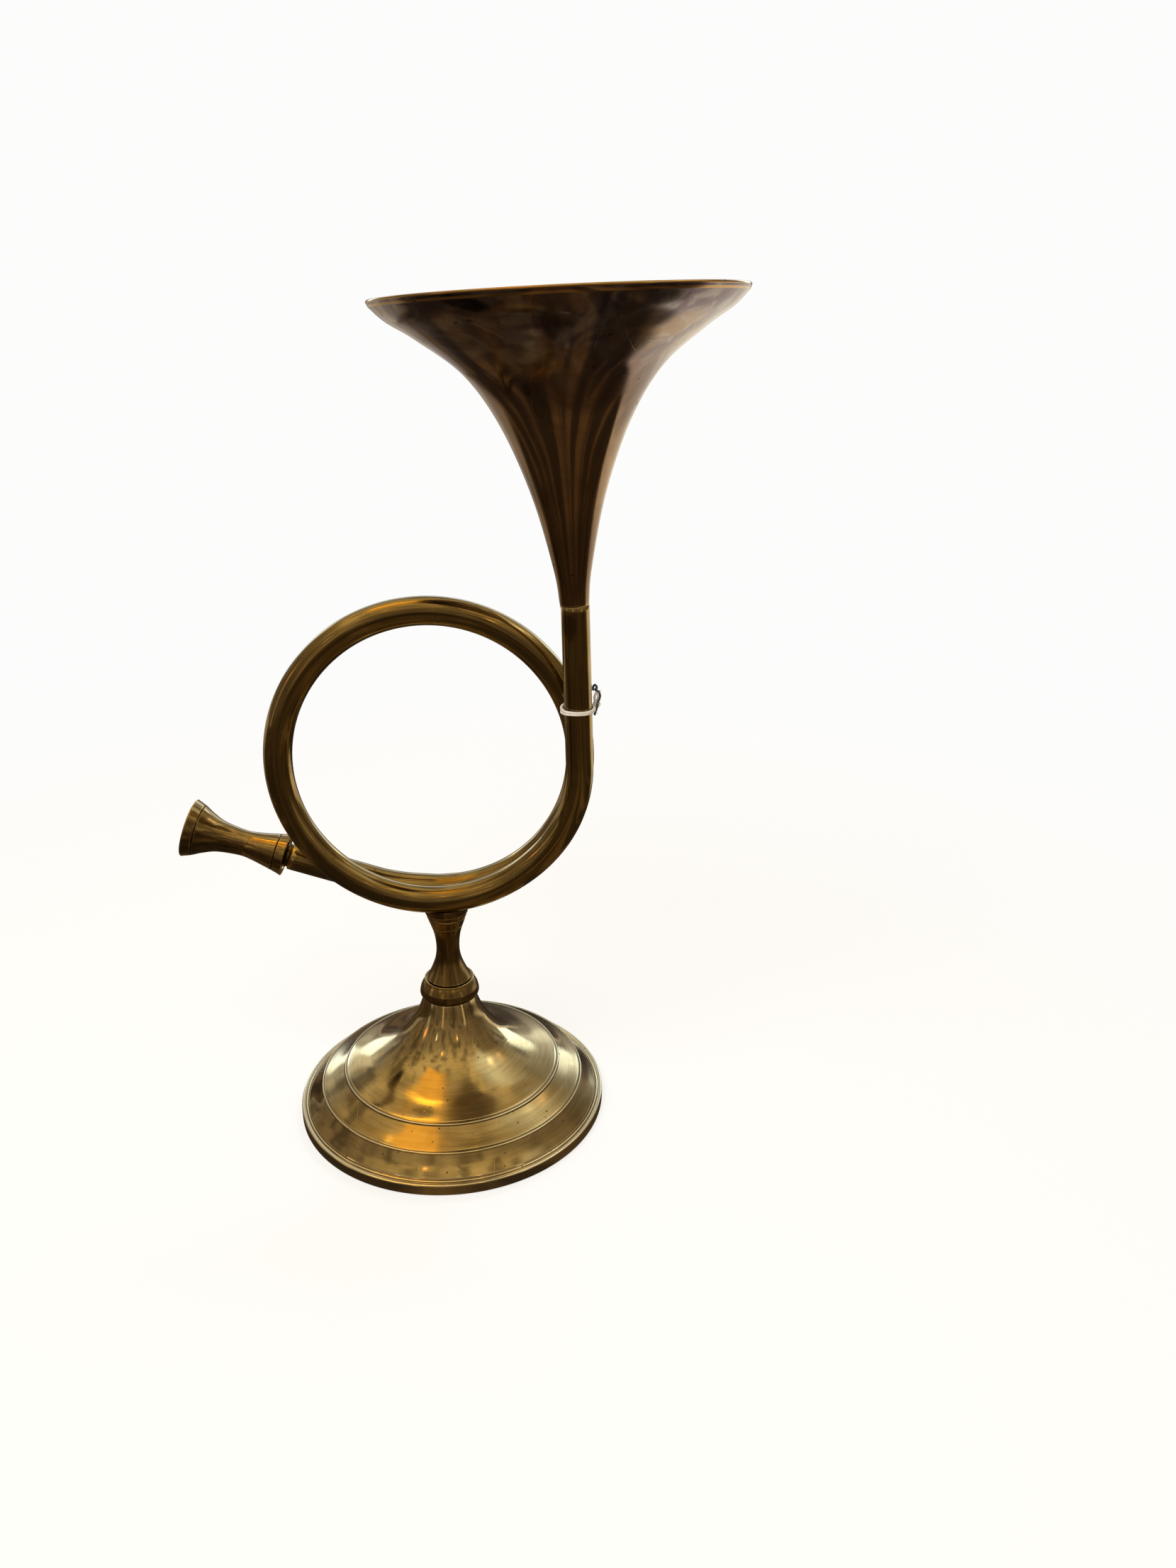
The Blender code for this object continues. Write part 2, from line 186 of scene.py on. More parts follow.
def placeOn(origin, axis):
    turn = Vector((0, 0, 1)).rotation_difference(Vector(axis)).to_matrix().to_4x4()
    return Matrix.Translation(Vector(origin)) @ turn


def middleOf(node):
    low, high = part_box(node)
    return (low + high) / 2


# Where things are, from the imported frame

stemFoot = middleOf("foot")
stemFoot.z = 0
stemPlace = Matrix.Translation(stemFoot)
bellAxis = Vector(joints["candle_lift"]["axis"]).normalized()
bellPlace = placeOn(middleOf("bell_solder_ring"), bellAxis)
mouthAxis = Vector(joints["mouthpiece_turn"]["axis"]).normalized()
mouthPlace = placeOn(joints["mouthpiece_turn"]["pos_m"], mouthAxis)
stringMiddle = middleOf("string_wraps")
print("frame loaded")


# Camera

camera = {
    "place": (60.5, -461.25, 344.65),  # from the middle of the stand
    "lookDown": 21.863,  # degrees
    "roll": 0.411,
    "lens": 27.03,
}


def setCamera():
    lens = bpy.data.cameras.new("camera")
    lens.lens = camera["lens"]
    lens.sensor_width = 36
    lens.clip_start = 0.01
    viewer = bpy.data.objects.new("camera", lens)
    bpy.context.scene.collection.objects.link(viewer)
    tilt = Matrix.Rotation(radians(90 - camera["lookDown"]), 4, "X")
    place = Matrix.Translation(Vector(camera["place"]) * mm)
    viewer.matrix_world = place @ tilt @ Matrix.Rotation(radians(camera["roll"]), 4, "Z")
    bpy.context.scene.camera = viewer


setCamera()


# Shared effects

def addNode(tree, kind, inputs=None, **settings):
    node = tree.nodes.new(kind)
    for key, value in settings.items():
        setattr(node, key, value)
    for key, value in (inputs or {}).items():
        if isinstance(value, bpy.types.NodeSocket):
            tree.links.new(value, node.inputs[key])
        else:
            node.inputs[key].default_value = value
    return node


def startGroup(name, inputs, output):
    group = bpy.data.node_groups.new(name, "ShaderNodeTree")
    for label, kind, value in inputs:
        socket = group.interface.new_socket(label, in_out="INPUT", socket_type=kind)
        if value is not None:
            socket.default_value = value
    group.interface.new_socket(output, in_out="OUTPUT", socket_type="NodeSocketFloat")
    return group, group.nodes.new("NodeGroupInput").outputs


def endGroup(group, value):
    group.links.new(value, group.nodes.new("NodeGroupOutput").inputs[0])
    return group


def mathNode(tree, operation, first, second=0.0, clamp=False):
    inputs = {0: first, 1: second}
    return addNode(tree, "ShaderNodeMath", inputs, operation=operation, use_clamp=clamp).outputs[0]


def vectorNode(tree, operation, first, second=(0, 0, 0)):
    node = addNode(tree, "ShaderNodeVectorMath", {0: first, 1: second}, operation=operation)
    return node.outputs["Value" if operation in ("LENGTH", "DOT_PRODUCT") else "Vector"]


def noiseNode(tree, place, scale, detail=3):
    inputs = {"Vector": place, "Scale": scale, "Detail": detail}
    return addNode(tree, "ShaderNodeTexNoise", inputs).outputs[0]


def rangeNode(tree, value, low, high, toLow=0.0, toHigh=1.0):
    inputs = {"Value": value, "From Min": low, "From Max": high, "To Min": toLow, "To Max": toHigh}
    return addNode(tree, "ShaderNodeMapRange", inputs, interpolation_type="SMOOTHSTEP").outputs[0]


def mixColour(tree, factor, first, second):
    node = addNode(tree, "ShaderNodeMix", data_type="RGBA")
    for index, value in ((0, factor), (6, first), (7, second)):
        if isinstance(value, bpy.types.NodeSocket):
            tree.links.new(value, node.inputs[index])
        else:
            node.inputs[index].default_value = (*value, 1) if index else value
    return node.outputs[2]


def tinted(tree, colour, mask, share, tint):
    return mixColour(tree, mathNode(tree, "MULTIPLY", mask, share), colour, tint)


vectorIn = ("Vector", "NodeSocketVector", None)


def floatIn(label, value):
    return (label, "NodeSocketFloat", value)


def makeLinesGroup():  # fine lines: round the piece when Along is high, down its length when Around is high
    inputs = [vectorIn, floatIn("Around", 2), floatIn("Along", 2000), floatIn("Contrast", 0.2)]
    group, given = startGroup("surfaceLines", inputs, "Lines")
    parts = addNode(group, "ShaderNodeSeparateXYZ", {0: given["Vector"]}).outputs
    x = mathNode(group, "MULTIPLY", parts[0], given["Around"])
    y = mathNode(group, "MULTIPLY", parts[1], given["Around"])
    z = mathNode(group, "MULTIPLY", parts[2], given["Along"])
    stretched = addNode(group, "ShaderNodeCombineXYZ", {0: x, 1: y, 2: z}).outputs[0]
    grain = noiseNode(group, stretched, 1)
    low = mathNode(group, "SUBTRACT", 0.5, given["Contrast"])
    high = mathNode(group, "ADD", 0.5, given["Contrast"])
    return endGroup(group, rangeNode(group, grain, low, high))


def makePatchesGroup():  # cloudy tarnish: Amount 0 is none and 1 is all over
    inputs = [vectorIn, floatIn("Scale", 40), floatIn("Amount", 0.5), floatIn("Softness", 0.1)]
    inputs += [floatIn("Swirl", 0.6)]
    group, given = startGroup("tarnishPatches", inputs, "Patches")
    clouds = addNode(
        group,
        "ShaderNodeTexNoise",
        {"Vector": given["Vector"], "Scale": given["Scale"], "Detail": 6, "Distortion": given["Swirl"]},
    ).outputs[0]
    level = mathNode(group, "SUBTRACT", 1, given["Amount"])
    level = mathNode(group, "ADD", mathNode(group, "MULTIPLY", level, 0.5), 0.25)
    low = mathNode(group, "SUBTRACT", level, given["Softness"])
    high = mathNode(group, "ADD", level, given["Softness"])
    return endGroup(group, rangeNode(group, clouds, low, high))


def makeSpecksGroup():  # small dark spots, a few of them larger
    inputs = [vectorIn, floatIn("Scale", 300), floatIn("Size", 0.16), floatIn("Share", 0.2)]
    group, given = startGroup("specks", inputs, "Specks")
    cells = addNode(
        group, "ShaderNodeTexVoronoi", {"Vector": given["Vector"], "Scale": given["Scale"]}
    ).outputs
    chance = addNode(group, "ShaderNodeSeparateColor", {0: cells["Color"]}).outputs
    kept = mathNode(group, "LESS_THAN", chance[0], given["Share"])
    size = mathNode(group, "MULTIPLY", given["Size"], rangeNode(group, chance[1], 0, 1, 0.3, 1.6))
    inner = mathNode(group, "MULTIPLY", size, 0.5)
    spot = rangeNode(group, cells["Distance"], inner, size, 1.0, 0.0)
    return endGroup(group, mathNode(group, "MULTIPLY", spot, kept))


def makeHairlinesGroup():  # thin handling scratches, along the level lines of a stretched noise
    inputs = [vectorIn, floatIn("Scale", 60), floatIn("Width", 0.004)]
    group, given = startGroup("hairlines", inputs, "Hairlines")
    turned = addNode(
        group,
        "ShaderNodeMapping",
        {"Vector": given["Vector"], "Rotation": (0.6, 0.9, 0.5), "Scale": (1, 0.12, 0.3)},
    ).outputs[0]
    field = noiseNode(group, turned, given["Scale"], 1)
    away = mathNode(group, "ABSOLUTE", mathNode(group, "SUBTRACT", field, 0.5))
    line = rangeNode(group, away, 0.0, given["Width"], 1.0, 0.0)
    breaks = noiseNode(group, given["Vector"], 90, 2)
    return endGroup(group, mathNode(group, "MULTIPLY", line, rangeNode(group, breaks, 0.5, 0.6)))


linesGroup = makeLinesGroup()
patchesGroup = makePatchesGroup()
specksGroup = makeSpecksGroup()
hairlinesGroup = makeHairlinesGroup()


def useGroup(tree, group, **inputs):
    return addNode(tree, "ShaderNodeGroup", inputs, node_tree=group).outputs[0]


# Brass finishes. "bright" is rubbed metal, "dark" tarnish, "gold" the streaks left by rubbing, which are
# partly painted highlight

footBrass = {
    "bright": (0.62, 0.47, 0.21), "dark": (0.35, 0.25, 0.10), "gold": (0.95, 0.84, 0.58),
    "spot": (0.10, 0.062, 0.025), "patchScale": 26, "patchAmount": 0.5, "patchSoft": 0.16,
    "linesAround": 1.5, "linesAlong": 2600, "rubSheenAround": 3, "rubSheenAlong": 700, "rubSheenShare": 0.12,
    "speckShare": 0.16, "speckScale": 420, "smooth": 0.075, "dull": 0.21, "lineBump": 0.035, "waveBump": 0.25,
    "edgeWearAndSheen": 0.95, "grime": 0.5, "pitted": 0.2, "coat": 0.25, "coatRough": 0.3,
}
stemBrass = {
    **footBrass,
    "bright": (0.42, 0.29, 0.11), "dark": (0.18, 0.115, 0.042), "gold": (0.62, 0.46, 0.20), "edgeWearAndSheen": 0.7,
    "patchScale": 45, "patchAmount": 0.6, "linesAlong": 3200, "smooth": 0.12, "dull": 0.25,
    "rubSheenAround": 9, "rubSheenAlong": 90, "rubSheenShare": 0.25, "coat": 0.1, "coatRough": 0.2,
}
hornBrass = {
    **footBrass,
    "bright": (0.44, 0.295, 0.105), "dark": (0.15, 0.092, 0.032), "gold": (0.62, 0.46, 0.18),
    "patchScale": 30, "linesAround": 26, "linesAlong": 26, "rubSheenAround": 6, "rubSheenAlong": 16,
    "rubSheenShare": 0.42, "smooth": 0.065, "dull": 0.18, "lineBump": 0.05, "speckShare": 0.06,
    "edgeWearAndSheen": 0.5, "pitted": 0.05, "coat": 0.15, "coatRough": 0.2,
}
mouthBrass = {
    **hornBrass,
    "bright": (0.42, 0.28, 0.115), "dark": (0.18, 0.11, 0.045), "linesAround": 2, "linesAlong": 2600,
    "lineBump": 0.04, "rubSheenAround": 5, "rubSheenAlong": 120, "patchScale": 60,
}
bellBrass = {
    **footBrass,
    "bright": (0.43, 0.285, 0.165), "dark": (0.145, 0.090, 0.066), "gold": (0.55, 0.34, 0.13),
    "spot": (0.03, 0.022, 0.02), "patchScale": 22, "patchAmount": 0.52, "patchSoft": 0.14, "pitted": 0.05,
    "linesAround": 2, "linesAlong": 900, "rubSheenAround": 12, "rubSheenAlong": 14, "rubSheenShare": 0.0,
    "speckShare": 0.05, "speckScale": 260, "smooth": 0.08, "dull": 0.2, "lineBump": 0.01, "waveBump": 0.22,
    "coat": 0.12, "coatRough": 0.2,
}
grimyBrass = {
    **mouthBrass,
    "bright": (0.13, 0.085, 0.035), "dark": (0.05, 0.032, 0.015), "gold": (0.22, 0.15, 0.06), "smooth": 0.25,
    "dull": 0.4, "coat": 0.0,
}
insertBrass = {
    **footBrass,
    "bright": (0.60, 0.42, 0.18), "dark": (0.30, 0.19, 0.075), "patchScale": 50, "linesAlong": 3000,
}


def startMaterial(name):
    finish = bpy.data.materials.new(name)
    finish.use_nodes = True
    tree = finish.node_tree
    return finish, tree, tree.nodes["Principled BSDF"]


def agedBrass(name, look, more=None):
    finish, tree, shader = startMaterial(name)
    place = addNode(tree, "ShaderNodeTexCoord").outputs["Object"]
    lathe = addNode(tree, "ShaderNodeAttribute", attribute_name="lathe").outputs["Vector"]
    edge = addNode(tree, "ShaderNodeAttribute", attribute_name="edge").outputs["Fac"]
    patches = useGroup(
        tree, patchesGroup, Vector=place, Scale=look["patchScale"], Amount=look["patchAmount"],
        Softness=look["patchSoft"],
    )
    clouds = useGroup(tree, patchesGroup, Vector=place, Scale=look["patchScale"] * 4, Softness=0.25)
    rubAndSheenStreaks = useGroup(
        tree, linesGroup, Vector=lathe, Around=look["rubSheenAround"], Along=look["rubSheenAlong"],
        Contrast=0.16,
    )
    lines = useGroup(
        tree, linesGroup, Vector=lathe, Around=look["linesAround"], Along=look["linesAlong"], Contrast=0.25
    )
    specks = useGroup(
        tree, specksGroup, Vector=place, Scale=look["speckScale"], Share=look["speckShare"]
    )
    hairlines = useGroup(tree, hairlinesGroup, Vector=place)
    # convex edges turned towards gold: partly real wear, partly a painted edge highlight
    edgeWearAndSheen = rangeNode(tree, edge, 0.15, 0.65)
    grimy = rangeNode(tree, edge, -0.2, -0.8)

    colour = mixColour(tree, patches, look["bright"], look["dark"])
    colour = tinted(tree, colour, clouds, 0.35, look["dark"])
    # gold streaks along the piece: partly rubbing marks, partly painted highlight streaks standing in for
    # mirrored lamps
    colour = tinted(tree, colour, rubAndSheenStreaks, look["rubSheenShare"], look["gold"])
    colour = tinted(tree, colour, lines, 0.12, look["dark"])
    dull = rangeNode(tree, mathNode(tree, "ADD", patches, mathNode(tree, "MULTIPLY", lines, 0.3)), 0, 1.3)
    height = mathNode(tree, "MULTIPLY", lines, look["lineBump"])
    if more:
        colour = more(tree, look, place, lathe, colour)
    # painted edge highlight mixed with real edge wear
    colour = tinted(tree, colour, edgeWearAndSheen, look["edgeWearAndSheen"], look["gold"])
    colour = tinted(tree, colour, grimy, look["grime"], look["spot"])
    colour = tinted(tree, colour, specks, 0.8, look["spot"])
    colour = tinted(tree, colour, hairlines, 0.3, look["gold"])
    roughness = rangeNode(tree, dull, 0, 1, look["smooth"], look["dull"])
    roughness = mathNode(tree, "ADD", roughness, mathNode(tree, "MULTIPLY", specks, 0.25))
    waves = noiseNode(tree, place, 45, 1)
    height = mathNode(tree, "SUBTRACT", height, mathNode(tree, "MULTIPLY", specks, look["pitted"]))
    height = mathNode(tree, "SUBTRACT", height, mathNode(tree, "MULTIPLY", hairlines, 0.15))
    fine = addNode(tree, "ShaderNodeBump", {"Height": height, "Distance": 0.00012, "Strength": 0.6})
    bump = addNode(
        tree,
        "ShaderNodeBump",
        {"Height": waves, "Distance": 0.001, "Strength": look["waveBump"], "Normal": fine.outputs[0]},
    )
    shader.inputs["Metallic"].default_value = 1.0
    shader.inputs["Coat Weight"].default_value = look["coat"]
    shader.inputs["Coat Roughness"].default_value = look["coatRough"]
    tree.links.new(colour, shader.inputs["Base Color"])
    tree.links.new(roughness, shader.inputs["Roughness"])
    tree.links.new(bump.outputs[0], shader.inputs["Normal"])
    return finish


def plainMetal(name, bright, dark, roughness):
    finish, tree, shader = startMaterial(name)
    place = addNode(tree, "ShaderNodeTexCoord").outputs["Object"]
    patches = useGroup(tree, patchesGroup, Vector=place, Scale=160, Amount=0.5, Softness=0.2)
    tree.links.new(mixColour(tree, patches, bright, dark), shader.inputs["Base Color"])
    spread = rangeNode(tree, patches, 0, 1, roughness, roughness + 0.15)
    tree.links.new(spread, shader.inputs["Roughness"])
    height = noiseNode(tree, place, 1500)
    bump = addNode(tree, "ShaderNodeBump", {"Height": height, "Distance": 0.0002, "Strength": 0.4})
    tree.links.new(bump.outputs[0], shader.inputs["Normal"])
    shader.inputs["Metallic"].default_value = 1.0
    return finish


def spunYarn(name, pale, shaded, fibres):  # cotton, with fibres that run along the yarn
    finish, tree, shader = startMaterial(name)
    lathe = addNode(tree, "ShaderNodeAttribute", attribute_name="lathe").outputs["Vector"]
    place = addNode(tree, "ShaderNodeTexCoord").outputs["Object"]
    lines = useGroup(tree, linesGroup, Vector=lathe, Around=4, Along=1800, Contrast=0.3)
    soil = useGroup(tree, patchesGroup, Vector=place, Scale=300, Amount=0.45, Softness=0.2)
    colour = tinted(tree, pale, lines, 0.45, shaded)
    colour = tinted(tree, colour, soil, 0.45, shaded)
    tree.links.new(colour, shader.inputs["Base Color"])
    shader.inputs["Roughness"].default_value = 0.9
    shader.inputs["Sheen Weight"].default_value = 0.4
    bump = addNode(tree, "ShaderNodeBump", {"Height": lines, "Distance": 0.0002, "Strength": fibres})
    tree.links.new(bump.outputs[0], shader.inputs["Normal"])
    return finish


# Bell finish: its own stains, a violet tarnish near the rim and bright metal inside

bellMarks = {  # turn from the front towards +X in degrees, way up the outside and half sizes in mm
    "ovalStain": {"turn": -24.8, "up": 131.2, "size": (6.6, 3.0), "depth": 0.96, "slant": -0.35},
    "ovalTail": {"turn": -29, "up": 133.0, "size": (3.4, 1.8), "depth": 0.9},
    "smallSpotA": {"turn": -33.0, "up": 122.5, "size": (1.0, 0.8), "depth": 0.85},
    "smallSpotB": {"turn": -27.5, "up": 123.2, "size": (1.2, 0.9), "depth": 0.85},
    "smallSpotC": {"turn": 19.9, "up": 112.1, "size": (0.9, 0.8), "depth": 0.7},
    "darkBrush": {"turn": -1.6, "up": 120.0, "size": (3.0, 10.0), "depth": 0.62, "slant": 0.1},
    "darkBrushTop": {"turn": -8, "up": 126.0, "size": (8.0, 1.6), "depth": 0.4, "slant": 0.1},
    "darkPatch": {"turn": -21.7, "up": 87.1, "size": (2.6, 3.0), "depth": 0.5},
    "scratch": {"turn": 29.3, "up": 97.1, "size": (13.0, 0.35), "depth": 0.75, "slant": 1.15},
}
bellSmears = {
    "blueGrey": {"turn": -12.4, "up": 122.2, "size": (5.5, 3.2), "depth": 0.5, "slant": 0.2},
    "greenGrey": {"turn": -10.8, "up": 109.3, "size": (2.8, 1.6), "depth": 0.6, "slant": 0.1},
    "leftBrown": {"turn": -24.1, "up": 103.5, "size": (4.0, 4.0), "depth": 0.35, "slant": 0.3},
}


def bellMark(tree, lathe, turn, up, size, depth, slant=0.0, bellRadius=60, ragged=0.7):
    angle = radians(turn)
    away = vectorNode(tree, "SUBTRACT", lathe, Vector((sin(angle), -cos(angle), up * mm)))
    across = vectorNode(tree, "DOT_PRODUCT", away, Vector((cos(angle), sin(angle), 0)) * bellRadius)
    high = vectorNode(tree, "DOT_PRODUCT", away, (0, 0, 1 / mm))
    leaning = mathNode(tree, "SUBTRACT", high, mathNode(tree, "MULTIPLY", across, slant))
    x = mathNode(tree, "DIVIDE", across, size[0])
    y = mathNode(tree, "DIVIDE", leaning, size[1])
    away = vectorNode(tree, "LENGTH", addNode(tree, "ShaderNodeCombineXYZ", {0: x, 1: y}).outputs[0])
    away = mathNode(tree, "ADD", away, mathNode(tree, "MULTIPLY", noiseNode(tree, lathe, 60), ragged))
    return rangeNode(tree, away, 1.1, 1.6, depth, 0.0)


def bellTarnish(tree, look, place, lathe, colour):
    up = addNode(tree, "ShaderNodeSeparateXYZ", {0: lathe}).outputs[2]
    # gold streaks down the bell's throat: partly rubbing marks, partly painted highlight streaks
    throatRubAndSheen = useGroup(tree, linesGroup, Vector=lathe, Around=10, Along=10, Contrast=0.2)
    throatRubAndSheen = mathNode(tree, "MULTIPLY", throatRubAndSheen, rangeNode(tree, up, 0.085, 0.04))
    colour = tinted(tree, colour, throatRubAndSheen, 0.55, look["gold"])
    high = rangeNode(tree, up, 0.070, 0.118)
    violet = useGroup(tree, patchesGroup, Vector=place, Scale=28, Amount=0.6, Softness=0.14, Swirl=1.4)
    grey = useGroup(tree, patchesGroup, Vector=place, Scale=48, Amount=0.36, Softness=0.12, Swirl=2.4)
    colour = tinted(tree, colour, high, violet, (0.150, 0.108, 0.138))
    colour = tinted(tree, colour, mathNode(tree, "MULTIPLY", high, grey), 0.6, (0.42, 0.37, 0.33))
    for smear in bellSmears.values():
        colour = mixColour(tree, bellMark(tree, lathe, **smear), colour, (0.36, 0.33, 0.33))
    for mark in bellMarks.values():
        colour = mixColour(tree, bellMark(tree, lathe, **mark), colour, look["spot"])
    inside = rangeNode(tree, up, 0.1362, 0.1368)
    cloud = useGroup(tree, patchesGroup, Vector=place, Scale=38, Amount=0.42, Softness=0.14)
    return mixColour(tree, inside, colour, mixColour(tree, cloud, (0.62, 0.44, 0.19), (0.30, 0.19, 0.08)))


burn = {"at": (-2.6, -5.0, -7.6), "size": (3.2, 9.0, 6.6), "depth": 0.95}  # from the middle of the seam


def hornTarnish(tree, look, place, lathe, colour):  # a dark burn in front, below the seam
    away = vectorNode(tree, "SUBTRACT", place, bellPlace @ (Vector(burn["at"]) * mm))
    away = vectorNode(tree, "LENGTH", vectorNode(tree, "DIVIDE", away, Vector(burn["size"]) * mm))
    away = mathNode(tree, "ADD", away, mathNode(tree, "MULTIPLY", noiseNode(tree, place, 260), 0.9))
    return mixColour(tree, rangeNode(tree, away, 1.0, 1.5, burn["depth"], 0.0), colour, look["spot"])


footFinish = agedBrass("footBrass", footBrass)
stemFinish = agedBrass("stemBrass", stemBrass)
hornFinish = agedBrass("hornBrass", hornBrass, hornTarnish)
mouthFinish = agedBrass("mouthpieceBrass", mouthBrass)
threadedFinish = agedBrass("grimyBrass", grimyBrass)
bellFinish = agedBrass("bellBrass", bellBrass, bellTarnish)
insertFinish = agedBrass("insertBrass", insertBrass)
solderFinish = plainMetal("brightSolder", (0.80, 0.77, 0.66), (0.45, 0.40, 0.30), 0.28)
steelFinish = plainMetal("platedSteel", (0.50, 0.48, 0.44), (0.22, 0.19, 0.16), 0.36)
cottonFinish = spunYarn("whiteCotton", (0.86, 0.83, 0.78), (0.60, 0.54, 0.46), 0.8)
threadFinish = spunYarn("blackThread", (0.035, 0.034, 0.036), (0.012, 0.011, 0.012), 0.6)
print("finishes made")


# Foot: spun from sheet, in a flat edge, two bands and a dome

foot = {
    "radius": 70.0, "edgeTop": 5.2, "standing": 2.4, "wall": 1.5, "top": 55.3, "hole": 2.7, "sides": 192,
    "edgeRound": 0.7, "underRadius": 9.6,
    "lowBand": ((66.6, 6.0), (63.3, 9.3), (60.1, 13.1)),
    "highBand": ((58.7, 14.3), (54.0, 16.9), (49.6, 19.75)),
    "dome": ((48.0, 20.95), (36.5, 26.0), (24.0, 34.6), (15.8, 45.4), (11.7, 55.3)),
}


def makeFoot():
    radius, top, edge = foot["radius"], foot["edgeTop"], foot["edgeRound"]
    outer = roundCorner((radius - edge, edge), edge, -90, 0)
    outer += roundCorner((radius - 0.8, top - 0.8), 0.8, 0, 80)
    outer += [Vector((radius - 1.6, top + 0.05)), Vector((radius - 1.85, top - 0.12))]  # fine turned line
    outer += roundCorner((radius - 2.5, top), 0.5, 20, 160)
    outer += [Vector((radius - 3.15, top + 0.1))]
    outer += smoothCurve(foot["lowBand"], 14)
    outer += roundCorner((59.75, 13.45), 0.5, -10, 110)  # raised line between the bands
    outer += [Vector((59.15, 13.95))]
    outer += smoothCurve(foot["highBand"], 14)
    outer += roundCorner((49.1, 20.05), 0.5, -20, 120)  # raised line round the dome
    outer += [Vector((48.55, 20.55))]
    outer += smoothCurve(foot["dome"], 22)
    inner = insideOf(smoothCurve(foot["lowBand"] + foot["highBand"] + foot["dome"], 6), foot["wall"])[:-2]
    hole, under = foot["hole"], foot["top"] - foot["wall"]
    standing = radius - edge - foot["standing"]
    outline = outer + [Vector((hole, foot["top"])), Vector((hole, under))]
    outline += [Vector((foot["underRadius"], under))]
    outline += inner[::-1] + [Vector((standing, 0.6)), Vector((standing + 0.4, 0))]
    bm = spinOutline(outline, foot["sides"])
    finishPiece("spunFoot", bm, stemPlace, footFinish, "stand", ["foot"])


makeFoot()


# Stem: collar, column and saddle, turned from bar and stacked on the tie rod

stem = {
    "hole": 2.7, "sides": 128, "collarFrom": 55.6, "collarTo": 64.3, "columnFrom": 64.6, "columnTo": 95.9,
    "waist": ((9.8, 64.6), (7.5, 69.5), (5.75, 74.6), (5.15, 80.0), (5.9, 87.0), (8.3, 94.6)),
    "lineAt": 91.2, "saddleFrom": 96.2, "saddleTo": 101.6, "saddleRadius": 9.5, "gap": 0.3,
    "strandReach": 25, "strandTop": 140,  # the part of the loop that the saddle's grooves are cut with
}


def makeCollar():
    low, high, hole = stem["collarFrom"], stem["collarTo"], stem["hole"]
    side = smoothCurve(((12.55, low + 0.5), (13.2, low + 1.4), (13.3, low + 2.4), (12.9, low + 4.4)), 8)
    side += smoothCurve(((12.75, low + 4.75), (11.9, low + 6.6), (11.05, high - 0.75)), 6)
    outline = [Vector((hole, low))] + roundCorner((12.1, low + 0.45), 0.45, -90, -10) + side
    outline += roundCorner((10.75, high - 0.42), 0.42, 0, 100)
    outline += [Vector((10.2, high - 0.1)), Vector((hole, high - 0.1))]
    bm = spinOutline(outline, stem["sides"])
    finishPiece("turnedCollar", bm, stemPlace, stemFinish, "stand", ["stem_collar"])


def makeColumn():
    side = smoothCurve(stem["waist"], 12)
    side = withGrooves(side, [stem["lineAt"]], 0.45, 0.28)
    side += roundCorner((8.35, stem["columnTo"] - 0.35), 0.35, 0, 90)
    outline = [Vector((stem["hole"], stem["columnFrom"]))] + side + [Vector((stem["hole"], stem["columnTo"]))]
    bm = spinOutline(outline, stem["sides"])
    finishPiece("waistedColumn", bm, stemPlace, stemFinish, "stand", ["stem_column"])


makeCollar()
makeColumn()


# Horn: one tube through the lead pipe, the loop and the rising end

horn = {
    "radius": 5.95, "endRadius": 5.7, "wall": 1.0, "sides": 48, "step": 2.0,  # degrees of the loop for a ring
    "loopRadius": 62.95, "tighterBy": 0.97, "tighterAt": 395, "tighterSpan": 30,
    "strand": 6.1, "crossFrom": 135, "crossTo": 305, "bellStrand": -7.5, "forwardFrom": 385, "forwardTo": 450,
    "leadSlope": 17.2, "leadStraight": 41.0, "bellLean": 1.75, "mouthJoint": 1.9, "socketDeep": 14,
}
hornLow, hornHigh = [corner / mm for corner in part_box("horn_tube")]
loopMiddle = hornLow + Vector((horn["radius"] + horn["loopRadius"],) * 3)
loopMiddle.y = stemFoot.y / mm


def loopPoint(turn):  # turn 0 is the bottom, 90 the bell's side, 180 the top
    tighter = exp(-(((turn - horn["tighterAt"]) / horn["tighterSpan"]) ** 2))
    radius = horn["loopRadius"] - horn["tighterBy"] * tighter
    crossed = min(max((turn - horn["crossFrom"]) / (horn["crossTo"] - horn["crossFrom"]), 0), 1)
    forward = min(max((turn - horn["forwardFrom"]) / (horn["forwardTo"] - horn["forwardFrom"]), 0), 1)
    across = horn["strand"] * cos(pi * crossed)
    across += (horn["bellStrand"] + horn["strand"]) * (1 - cos(pi * forward)) / 2
    return loopMiddle + Vector((radius * sin(radians(turn)), across, -radius * cos(radians(turn))))


def hornPath():
    slope = radians(horn["leadSlope"])
    down = Vector((cos(slope), 0, -sin(slope)))
    leadEnd = Vector(joints["mouthpiece_turn"]["pos_m"]) / mm + down * horn["mouthJoint"]
    leadStart = leadEnd + down * horn["leadStraight"]
    easing = smoothCurve((leadEnd, leadStart, loopPoint(-3), loopPoint(8)), 14)[15:-1]
    points = [leadEnd.lerp(leadStart, i / 14) for i in range(15)] + easing
    last = 90 + 360 + horn["bellLean"]
    count = round((last - 8) / horn["step"])
    points += [loopPoint(8 + (last - 8) * i / count) for i in range(count + 1)]
    bend = points[-1].copy()
    rise = hornHigh.z - bend.z
    lean = tan(radians(horn["bellLean"]))
    points += [bend + Vector((-lean * rise, 0, rise)) * i / 24 for i in range(1, 25)]
    return points


hornPoints = hornPath()


def hornRadius(share):  # the tube tapers over its last third
    return horn["radius"] + max(0, 3 * share - 2) * (horn["endRadius"] - horn["radius"])


